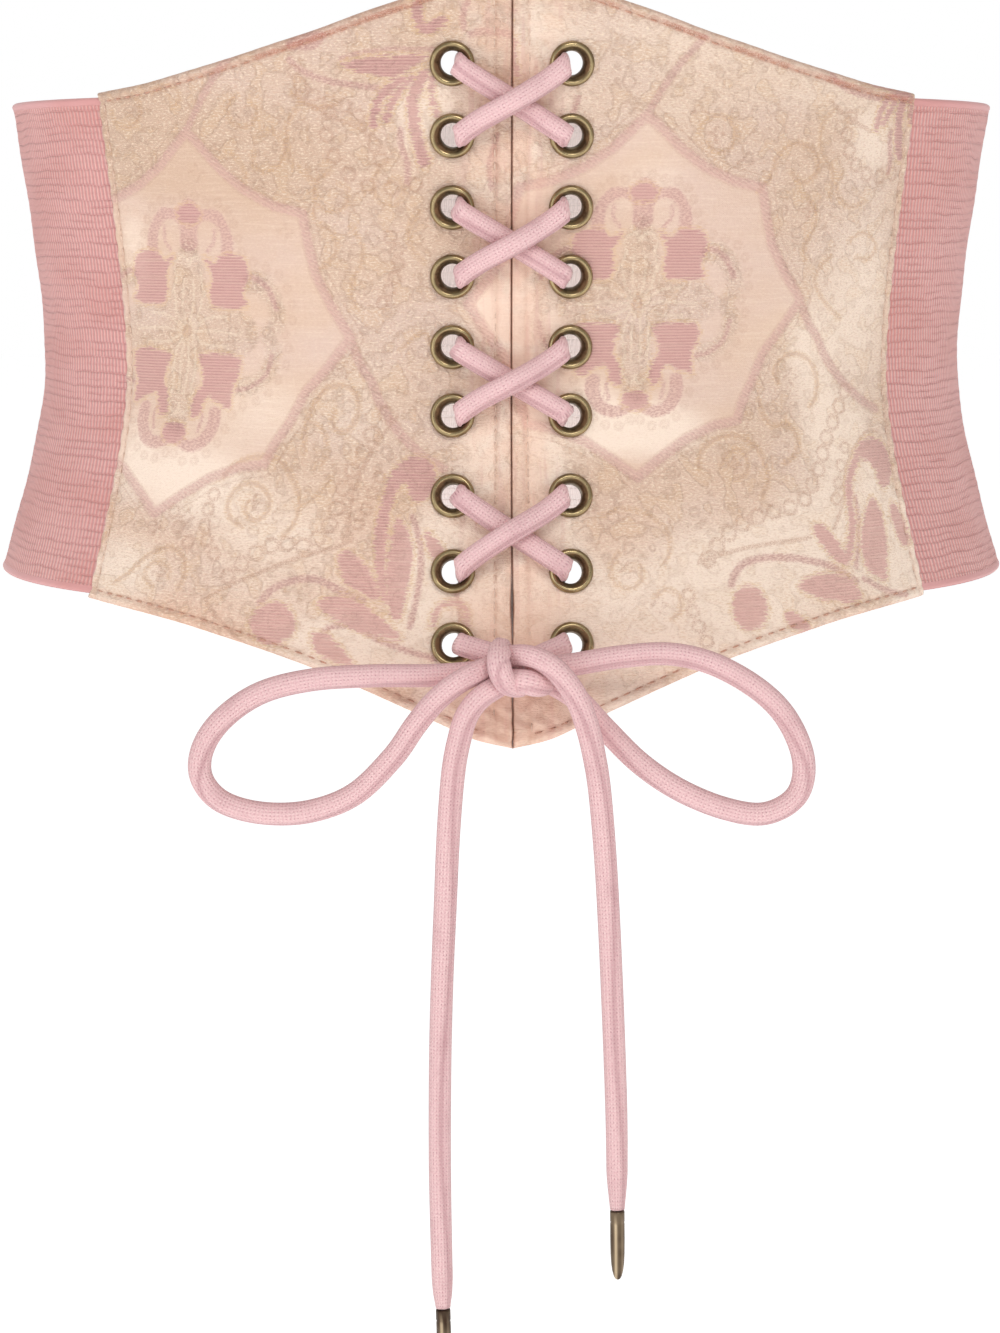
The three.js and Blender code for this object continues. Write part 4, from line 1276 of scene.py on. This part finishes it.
def brocadeMaterial():
    f = Finish("brocade")
    tones = brocadeTones

    # Noises of the weave: steps and comb break the edges of the shapes, the others vary the threads
    cloth = f.attribute("cloth", "Vector")
    across, up, outer = f.parts(cloth)
    steps = (f.clothNoise(cloth, 1.5, 2.1, 2.0, 0.6) - 0.5) * 2.4
    comb = (f.clothNoise(cloth, 0.3, 2.4, 1.0) - 0.5) * 3.4
    grain = f.clothNoise(cloth, 1.15, 2.5, 2.0, 0.6)
    fine = f.clothNoise(cloth, 2.4, 4.8, 2.0, 0.6)
    streak = f.clothNoise(cloth, 0.09, 1.6)
    broad = f.clothNoise(cloth, 0.03, 0.05)
    swirl = f.clothNoise(cloth, 0.19, 0.17, 1.0, 0.4)
    rib = (up * (2 * math.pi / weave["rib"]) + comb * 0.3).sine() * 0.5 + 0.5
    speckle = grain.between(0.62, 0.4)

    # Rough cloth lies outside the frames and in the filigree, with fine curls and rings in it
    light = f.attribute("light")
    frameField = f.attribute("frame") + steps * 0.4
    outside = frameField.between(-0.4, 1.2)
    filigree = (f.attribute("filigree") + steps).between(1.2, -0.6)
    rough = (outside.most(filigree) * 0.84 + 0.16) * (1 - light.between(0.2, 1.2) * 0.5)
    curls = ((swirl * 3.6).fraction() - 0.5).size().between(0.36, 0.46)
    ringInputs = [cloth, (0.2, 0.2, 1), (3.7, 1.3, 0)]
    ringPlace = f.node("ShaderNodeVectorMath", {"operation": "MULTIPLY_ADD"}, ringInputs)
    cells = f.node("ShaderNodeTexVoronoi", None, {"Vector": ringPlace, "Scale": 1.0, "Randomness": 0.7})
    rings = (cells - 0.3).size().between(0.1, 0.03)
    netted = curls.most(rings) * fine.between(0.34, 0.52)

    # Ground cloth
    ground = f.mix(broad.between(0.35, 0.65), tones["satin"], tones["peach"])
    # Painted shade where the light attribute is below nought
    ground = f.mix((0 - light).between(0.0, 1.0), ground, tones["shade"])
    # Painted light: the cloth lighter and warmer towards the bottom
    low = up.between(-12, -70)
    ground = f.mix(low * (broad.between(0.3, 0.6) * 0.4 + 0.2), ground, tones["apricot"])
    # Painted light where the light attribute is above nought, with random lighter streaks
    paintedLightAndStreaks = (light.between(0.0, 1.0) + streak.between(0.45, 0.75) * 0.22).least(1.0)
    ground = f.mix(paintedLightAndStreaks, ground, tones["cream"])
    ground = f.mix(grain.between(0.5, 0.36) * (rough * 0.4 + 0.1), ground, tones["tan"])
    ground = f.mix(grain.between(0.4, 0.28) * rough * 0.35, ground, tones["taupe"])
    ground = f.mix(grain.between(0.52, 0.66) * (rough * 0.6 + 0.1), ground, tones["thread"])
    ground = f.mix(swirl.between(0.5, 0.62) * rough * 0.35 * speckle, ground, tones["gold"])
    ground = f.mix(netted * rough * 0.2, ground, tones["taupe"])
    ground = f.mix(fine.between(0.54, 0.68) * (rough * 0.35 + 0.08), ground, tones["thread"])
    goldField = f.attribute("gold") + steps * 0.25
    ground = f.mix(goldField.between(0.8, 0.1) * speckle * 0.4, ground, tones["gold"])
    scroll = goldField.between(0.15, -0.25) * goldField.between(-1.1, -0.6) * grain.between(0.34, 0.52)
    ground = f.mix(scroll * 0.38, ground, tones["taupe"])

    # Bands, drawn lines and the pink shapes over it
    blush = (f.attribute("blush") + steps * 0.7).between(0.5, -0.4)
    blushed = f.mix(grain.between(0.4, 0.58) * 0.8, tones["mauve"], tones["pinkRib"])
    ground = f.mix(blush * (speckle * 0.35 + 0.5), ground, blushed)
    band = (f.attribute("band") + steps * 0.5).between(0.4, -0.3)
    slant = (across * 0.9 + up * 1.5) * (2 * math.pi / weave["twill"])
    twill = (slant + grain * 3).sine() * 0.5 + 0.5
    twilled = twill.between(0.1, 0.9) * 0.6 + fine.between(0.4, 0.6) * 0.4
    banded = f.mix(twilled, tones["mauve"], tones["pinkRib"])
    ground = f.mix(band * (speckle * 0.3 + 0.42), ground, banded)
    border = (f.attribute("band") - 0.3 + steps * 0.3).size().between(0.4, 0.1)
    beside = (frameField - 3).size().between(0.35, 0.1)
    line = (f.attribute("line") + steps * 0.4).between(0.4, -0.1)
    raised = line * filigree * (1 - outside)
    ground = f.mix(raised * 0.5, ground, tones["thread"])
    drawn = (line * (outside * 0.28 + 0.27) * (1 - raised)).most(border * 0.26).most(beside * 0.34)
    ground = f.mix(drawn * fine.between(0.34, 0.6), ground, tones["taupe"])
    pinkField = f.attribute("pink") + comb + steps * 0.3
    pink = pinkField.between(0.3, -0.3)
    fringe = (pinkField - 0.55).size().between(0.5, 0.1)
    ground = f.mix(fringe * (speckle * 0.45 + 0.2), ground, tones["gold"])
    # Painted light: the pinks lighter towards the bottom
    pinkDeep = f.mix(low * 0.7, tones["pink"], tones["petal"])
    pinkPale = f.mix(low * 0.7, tones["pinkRib"], tones["petalRib"])
    ribbed = rib.between(0.15, 0.85) * 0.75 + fine.between(0.4, 0.65) * 0.25
    pinkish = f.mix(ribbed, pinkDeep, pinkPale)
    # Painted light on the pinks from the light attribute
    pinkish = f.mix(light.between(0.0, 0.8) * 0.7, pinkish, tones["pinkRib"])
    colour = f.mix(pink * (streak.between(0.3, 0.5) * 0.2 + 0.74), ground, pinkish)

    # Hems, seams, the middle and the inner face
    hem = f.attribute("hem")
    seam = f.attribute("seam")
    topEdge = f.attribute("topHem")
    topHem = (topEdge - 1.9).size().between(1.1, 0.3).most(topEdge.between(1.6, 0.4) * 0.35)
    topHem = topHem * across.between(-92, -48)
    patchy = f.clothNoise(cloth, 0.12, 0.12).between(0.36, 0.56)
    dotted = fine.between(0.4, 0.56) * 0.75 + 0.25
    colour = f.mix(topHem * (patchy * 0.6 + 0.25) * dotted, colour, tones["hem"])
    # Painted shade in the seam grooves and along the rounded edges
    colour = f.mix((seam * 0.22).most(hem.between(0.9, 0.1) * 0.26), colour, tones["seamAndEdgeShade"])
    middle = f.attribute("middle")
    # Painted shade of pleats: pinkish vertical streaks near the middle
    pleatShadeNoise = f.clothNoise(cloth, 0.55, 0.05)
    pleatShade = pleatShadeNoise.between(0.5, 0.7) * middle.between(17, 8)
    colour = f.mix(pleatShade * 0.4, colour, tones["pinkRib"])
    lowGlow = middle.between(22, 4) * up.between(-46, -60) * 0.4
    glowing = lowGlow.most(middle.between(18, 3) * patchy * 0.3)
    colour = f.mix(glowing, colour, tones["glow"])
    colour = f.mix(1 - outer.between(0.3, 0.9), colour, tones["lining"])
    # Painted shade in the crevice along the middle where the two panels meet
    colour = f.mix(middle.between(0.45, 0.05) * 0.65, colour, tones["creviceShade"])

    # Height of the threads
    warp = (across * (2 * math.pi / weave["warp"])).sine()
    weft = (up * (2 * math.pi / weave["weft"])).sine()
    relief = grain.between(0.36, 0.64) * (rough * 0.6 + 0.12) + rib * pink * 0.4 + twill * band * 0.35
    relief = relief - netted * rough * 0.6 - line * 0.3 + raised * 0.6
    relief = relief + goldField.between(0.6, 0.0) * 0.3 - pink * 0.3
    relief = relief + fine * 0.35 + warp * weft * 0.1

    return f.wear(
        Base_Color=colour,
        Roughness=rough * 0.14 + 0.44 + pink * 0.06,
        Sheen_Weight=0.2,
        Sheen_Roughness=0.4,
        Normal=f.bump(relief, 0.28, 0.75),
    )


brocadeFinish = brocadeMaterial()
panels = {side: panelPiece(side, brocadeFinish) for side in (-1, 1)}
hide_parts("brocade_panel_left")
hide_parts("brocade_panel_right")
print("panels made:", [len(piece.data.polygons) for piece in panels.values()])


# Elastic: corded rows up the band, crossed by broken creases, with a smooth lip at each edge
elasticTones = {
    "grooveShade": tone(209, 139, 137),
    "litCord": tone(242, 186, 178),
    "crease": tone(188, 114, 114),
    "lip": tone(224, 168, 167),
    "shade": tone(206, 128, 118),
    "lining": tone(246, 232, 228),
}
ribs = {"pitch": 1.4, "row": 3.75}


def elasticMaterial():
    f = Finish("ribbed elastic")
    tones = elasticTones
    cloth = f.attribute("cloth", "Vector")
    across, up, outer = f.parts(cloth)
    wander = f.clothNoise(cloth, 0.5, 0.16)
    rowShift = f.clothNoise(cloth, 0.05, 0.06) * 2.6
    rowHeight = f.clothNoise(cloth, 0.5, 0.4, 1.0) * 0.6
    rows = (up + rowShift + rowHeight) / ribs["row"]
    slant = (rows - rows.fraction()) * 2.1 + rows.fraction() * 0.5
    cords = (across * (2 * math.pi / ribs["pitch"]) + wander * 1.8 + slant).sine() * 0.5 + 0.5
    crease = (rows.fraction() - 0.5).size().between(0.36, 0.49)
    halfway = (rows.fraction() - 0.5).size().between(0.13, 0.01)
    broken = f.clothNoise(cloth, 0.09, 0.3).between(0.36, 0.56)
    creaseDepthAndShade = (crease * (broken * 0.4 + 0.5)).most(halfway * (0.85 - broken * 0.6))
    lip = f.attribute("hem").between(2.1, 1.7)
    body = 1 - lip
    height = (cords * 0.6 + 0.4) * body * (1 - creaseDepthAndShade * 0.8) + lip * 0.8
    speck = f.clothNoise(cloth, 3, 3)
    shade = f.clothNoise(cloth, 0.03, 0.05)
    # Painted highlight on the raised cords and painted shade in the grooves between them, with random
    # speckle
    corded = cords.between(0.25, 0.85) * 0.75 * body + speck * 0.25
    colour = f.mix(corded, tones["grooveShade"], tones["litCord"])
    # Painted shade in the creases
    colour = f.mix(creaseDepthAndShade * body * 0.37, colour, tones["crease"])
    colour = f.mix(lip * 0.7, colour, tones["lip"])
    colour = f.mix(shade.between(0.4, 0.7) * 0.3, colour, tones["shade"])
    colour = f.mix(1 - outer.between(0.3, 0.9), colour, tones["lining"])
    return f.wear(
        Base_Color=colour,
        Roughness=0.74,
        Sheen_Weight=0.3,
        Sheen_Roughness=0.45,
        Normal=f.bump(height + speck * 0.1, 0.65, 0.9),
    )


def elasticPiece():
    seam = panel["seamAngle"]
    speed = math.hypot(waist["halfWidth"] * math.cos(seam), waist["halfDepth"] * math.sin(seam))
    start = seam - elastic["sewnIn"] / speed
    bm = gridBm(elastic["columns"], elastic["rows"])
    bmesh.ops.solidify(bm, geom=bm.faces[:], thickness=1)
    piece = finished(bm, "elastic", elasticMaterial())
    shares = verticesOf(piece.data)
    outerFace = onOuterFace(shares)
    angle = start + (shares[:, 0] + 0.5) * (2 * math.pi - 2 * start)
    upShares = crowded(elastic["rows"], elastic["top"] - elastic["bottom"])
    up = np.interp(shares[:, 1] + 0.5, np.linspace(0, 1, len(upShares)), upShares)
    level = elastic["bottom"] + up * (elastic["top"] - elastic["bottom"])
    arc = arcAt(angle)
    nearest = np.minimum(level - elastic["bottom"], elastic["top"] - level)
    fall = fallAt(nearest, elastic["edgeRound"])
    inner = (panel["thickness"] - elastic["thickness"]) / 2
    free = softly(np.minimum(angle - seam, 2 * math.pi - seam - angle), 0.01, 0.12)
    gathers = 0.05 * np.sin(level * 1.7 + 1.5 * np.sin(arc * 0.11))
    gathers = gathers + 0.12 * np.sin(level * 0.25 + arc * 0.06)
    lips = elastic["lipRise"] * free * bell(nearest, 0.9, 0.6)
    bulge = free * gathers * softly(nearest, 0.5, 4) + lips
    outward = np.where(outerFace, inner + elastic["thickness"] - fall, inner + fall) + bulge
    moveVertices(piece.data, waistPoint(angle, level, outward))
    addAttribute(piece.data, "cloth", np.stack([arc, level, np.where(outerFace, 1.0, 0.0)], -1))
    addAttribute(piece.data, "hem", nearest)
    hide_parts("elastic_band")
    return piece


elasticBand = elasticPiece()
print("elastic made")


# Antique brass for the eyelets and the tips of the lace
def brassMaterial(name, bright, dull, smooth):
    f = Finish(name)
    place = f.node("ShaderNodeTexCoord", output="Object")
    mottle = f.noise(place, 420.0, 4.0, 0.6)
    cloudy = f.noise(place, 110.0, 2.0, 0.5)
    scratch = f.noise(f.stretched(place, (900, 900, 5200)), 1.0, 2.0, 0.7)
    # Painted highlight where this attribute is above nought and painted shade where it is below, on top
    # of the mottled tarnish
    highlightAndShade = f.attribute("highlightAndShade")
    spread = mottle.between(0.35, 0.7) * (0.55 * (1 - smooth)) + cloudy * 0.45 + 0.45 * smooth
    tarnishAndLight = spread * (1 - highlightAndShade * 0.75)
    colour = f.mix(tarnishAndLight, bright, dull)
    # Painted shade: a dark brass tone deep in the bores
    colour = f.mix(highlightAndShade.between(-0.4, -1.0) * 0.8, colour, tone(112, 92, 64))
    return f.wear(
        Base_Color=colour,
        Metallic=0.95,
        Roughness=tarnishAndLight * 0.28 + 0.2 - 0.06 * smooth + scratch * 0.08,
        Normal=f.bump(scratch * 0.5 + mottle * 0.5, 0.05, 0.5 - 0.3 * smooth),
    )


brass = brassMaterial("antique brass", tone(180, 160, 120), tone(84, 71, 52), 0)
tipBrass = brassMaterial("tip brass", tone(236, 212, 176), tone(66, 50, 40), 1)


def spunBm(profile, segments):
    bm = bmesh.new()
    verts = [bm.verts.new((radius * mm, 0, height * mm)) for radius, height in profile]
    edges = [bm.edges.new(pair) for pair in zip(verts, verts[1:])]
    turned = {"cent": (0, 0, 0), "axis": (0, 0, 1), "angle": 2 * math.pi, "steps": segments}
    bmesh.ops.spin(bm, geom=verts + edges, use_merge=True, **turned)
    bmesh.ops.remove_doubles(bm, verts=bm.verts, dist=1e-7)
    return bm


def setHighlightAndShade(piece, highlightAt):
    points = verticesOf(piece.data) / mm
    addAttribute(piece.data, "highlightAndShade", highlightAt(points))


def placeAlong(piece, middle, axis, spin=0.0):
    turned = Vector(axis).to_track_quat("Z", "Y").to_matrix().to_4x4()
    spun = turned @ Matrix.Rotation(spin, 4, "Z")
    piece.data.transform(Matrix.Translation(Vector(middle) * mm) @ spun)


# Radius and height round the rim, over the dome, down the bore and back up outside it
def eyeletProfile():
    e = eyelets
    seat = e["seat"]
    crest = seat + e["height"]
    rim = [(e["flange"] - 0.12, seat), (e["flange"], seat + 0.22), (e["flange"] - 0.1, seat + 0.5)]
    dome = [
        (e["flange"] - 0.3, seat + 0.82),
        (e["flange"] - 0.58, crest - 0.06),
        (e["flange"] - 0.85, crest),
        (e["flange"] - 1.12, crest - 0.08),
        (e["flange"] - 1.4, crest - 0.34),
        (e["bore"] + 0.72, crest - 0.82),
        (e["bore"] + 0.36, crest - 1.25),
        (e["bore"] + 0.1, seat - 0.7),
    ]
    back = -panel["thickness"] - e["seat"]
    barrel = [
        (e["bore"], seat - 1.4),
        (e["bore"], back + 0.1),
        (e["bore"] + 0.2, back - e["backHeight"] + 0.1),
        (e["bore"] + 0.7, back - e["backHeight"]),
        (e["backFlange"], back),
        (e["bore"] + 0.5, back + 0.02),
        (e["bore"] + 0.5, seat),
    ]
    loop = rim + dome + barrel
    return loop + loop[:1]


# Painted highlight along the ridge and painted shade in the bore
def eyeletHighlightAndShade(points):
    reach = np.hypot(points[:, 0], points[:, 1])
    crest = eyelets["seat"] + eyelets["height"]
    ridge = bell(reach, eyelets["flange"] - 0.8, 0.4) * (points[:, 2] > 0)
    bore = softly(crest - points[:, 2], 0.6, 1.4) * (reach < panel["holeRadius"])
    return ridge - 1.2 * bore


spins = np.random.default_rng(4).uniform(0, 2 * math.pi, 18)
for side, label in ((-1, "left"), (1, "right")):
    for row, seat in enumerate(seats[side]):
        bm = spunBm(eyeletProfile(), eyelets["segments"])
        bmesh.ops.recalc_face_normals(bm, faces=bm.faces)
        ring = finished(bm, f"eyelet_ring_{label}_{row + 1}", brass)
        setHighlightAndShade(ring, eyeletHighlightAndShade)
        placeAlong(ring, seat["middle"], seat["axis"], spins[row + (9 if side > 0 else 0)])
        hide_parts(f"eyelet_{label}_{row + 1}")
print("eyelets made")

aglet = {
    "radius": 1.8,
    "length": 17.5,
    "gap": 0.3,
    "segments": 32,
    "seamDepth": 0.12,
    "seamAngle": -1.2,
    "seamWidth": 0.16,
}


def agletProfile():
    r = aglet["radius"]
    end = -aglet["length"]
    collar = [(0, 0), (r - 0.4, 0), (r - 0.08, -0.1), (r, -0.35)]
    crimp = [(r, -2.6), (r - 0.1, -2.9), (r - 0.02, -3.3)]
    barrel = [(r, -7), (r - 0.06, -11), (r - 0.2, end + 4)]
    foot = [(r - 0.45, end + 2.2), (r - 0.8, end + 0.9), (r - 1.15, end + 0.25), (r - 1.5, end)]
    return collar + crimp + barrel + foot + [(0, end)]


# The tips get a painted highlight along one side and painted shade elsewhere
def tipHighlightAndShade(points, middle, way):
    offset = points - middle
    aside = (offset - (offset @ way)[:, None] * way)[:, 0]
    highlightStreak = bell(aside, -0.5, 0.32) + 0.3 * bell(aside, 1.1, 0.25)
    spots = 0.25 * np.sin(points[:, 2] * 2.3) * np.sin(points[:, 2] * 0.9 + points[:, 0] * 2)
    return (1.05 + spots) * highlightStreak * softly(offset @ way, 1.5, 4) - 0.45


for side in ("Left", "Right"):
    route = fromKnot(bow[f"tail{side}"])
    way = unit(route[-1] - route[-2])
    bm = spunBm(agletProfile(), aglet["segments"])
    for vert in bm.verts:
        turnBy = math.atan2(vert.co.y, vert.co.x)
        pinch = aglet["seamDepth"] * float(bell(turnBy, aglet["seamAngle"], aglet["seamWidth"]))
        vert.co.x *= 1 - pinch
        vert.co.y *= 1 - pinch
    bmesh.ops.recalc_face_normals(bm, faces=bm.faces)
    tip = finished(bm, f"aglet_tip_{side.lower()}", tipBrass)
    placeAlong(tip, route[-1] + aglet["gap"] * way, -way)
    setHighlightAndShade(tip, lambda points: tipHighlightAndShade(points, route[-1], way))
    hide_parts(f"aglet_{side.lower()}")
print("aglets made")

# Stitches along the hems and seams
stitches = {
    "pitch": 3.3,
    "length": 2.5,
    "width": 0.26,
    "height": 0.2,
    "sunk": 0.22,
    "seamSunk": 0.3,
}


def threadMaterial(name, colour, dark):
    f = Finish(name)
    place = f.node("ShaderNodeTexCoord", output="Object")
    twist = f.noise(place, 2600.0, 3.0, 0.6)
    return f.wear(
        Base_Color=f.mix(twist.between(0.3, 0.7), colour, dark),
        Roughness=0.6,
        Sheen_Weight=0.3,
        Normal=f.bump(twist, 0.08, 0.6),
    )


hemThread = threadMaterial("hem thread", tone(216, 170, 148), tone(184, 130, 106))
sideThread = threadMaterial("side thread", tone(236, 208, 188), tone(216, 182, 162))


def stitchRow(bm, angles, levels, outward):
    line = waistPoint(np.asarray(angles, float), np.asarray(levels, float), 0.0)
    along = lengthsAlong(line)
    count = int(along[-1] // stitches["pitch"])
    at = (np.arange(count) + 0.5) * along[-1] / count
    angleHere = np.interp(at, along, angles)
    levelHere = np.interp(at, along, levels)
    middles = waistPoint(angleHere, levelHere, outward)
    angleAhead = np.interp(at + 0.5, along, angles)
    levelAhead = np.interp(at + 0.5, along, levels)
    ahead = unit(waistPoint(angleAhead, levelAhead, outward) - middles)
    normals = waistNormal(angleHere, levelHere)
    halfSizes = (stitches["length"] / 2 * mm, stitches["width"] * mm, stitches["height"] * mm, 1)
    for middle, way, normal in zip(middles, ahead, normals):
        cross = np.cross(normal, way)
        turned = Matrix((way, cross, normal)).transposed().to_4x4()
        place = Matrix.Translation(Vector(middle) * mm) @ turned @ Matrix.Diagonal(halfSizes)
        bmesh.ops.create_icosphere(bm, subdivisions=1, radius=1, matrix=place)


def stitchPiece(side, label):
    bm = bmesh.new()
    gapAngle = panel["centreGap"] / 2 / waist["halfWidth"]
    inner = angleOfArc(arcAt(gapAngle) + panel["centreGroove"])
    outer = angleOfArc(arcAt(panel["seamAngle"]) - panel["sideGroove"])
    rise = panel["thickness"] - stitches["sunk"]
    seamRise = panel["thickness"] - stitches["seamSunk"]
    sweep = np.linspace(inner, outer, 160)
    top, bottom = panelEdges(sweep)
    inset = panel["sideGroove"] / ((panel["topSlope"] + panel["bottomSlope"]) / 2)
    stitchRow(bm, side * sweep, top - inset, rise)
    stitchRow(bm, side * sweep, bottom + inset, rise)
    hemFaces = len(bm.faces)
    for angle in (inner, outer):
        high, low = panelEdges(angle)
        levels = np.linspace(low + inset, high - inset, 120)
        stitchRow(bm, np.full(len(levels), side * angle), levels, seamRise)
    for face in list(bm.faces)[hemFaces:]:
        face.material_index = 1
    piece = finished(bm, f"stitches_{label}", hemThread)
    piece.data.materials.append(sideThread)
    return piece


stitching = {side: stitchPiece(side, label) for side, label in ((-1, "left"), (1, "right"))}
print("stitches made")


for side in ("Left", "Right"):
    line = loops[side + "Line"]
    2 * lace["radius"] * mm
    line = tails[side + "Line"]
    2 * lace["radius"] * mm
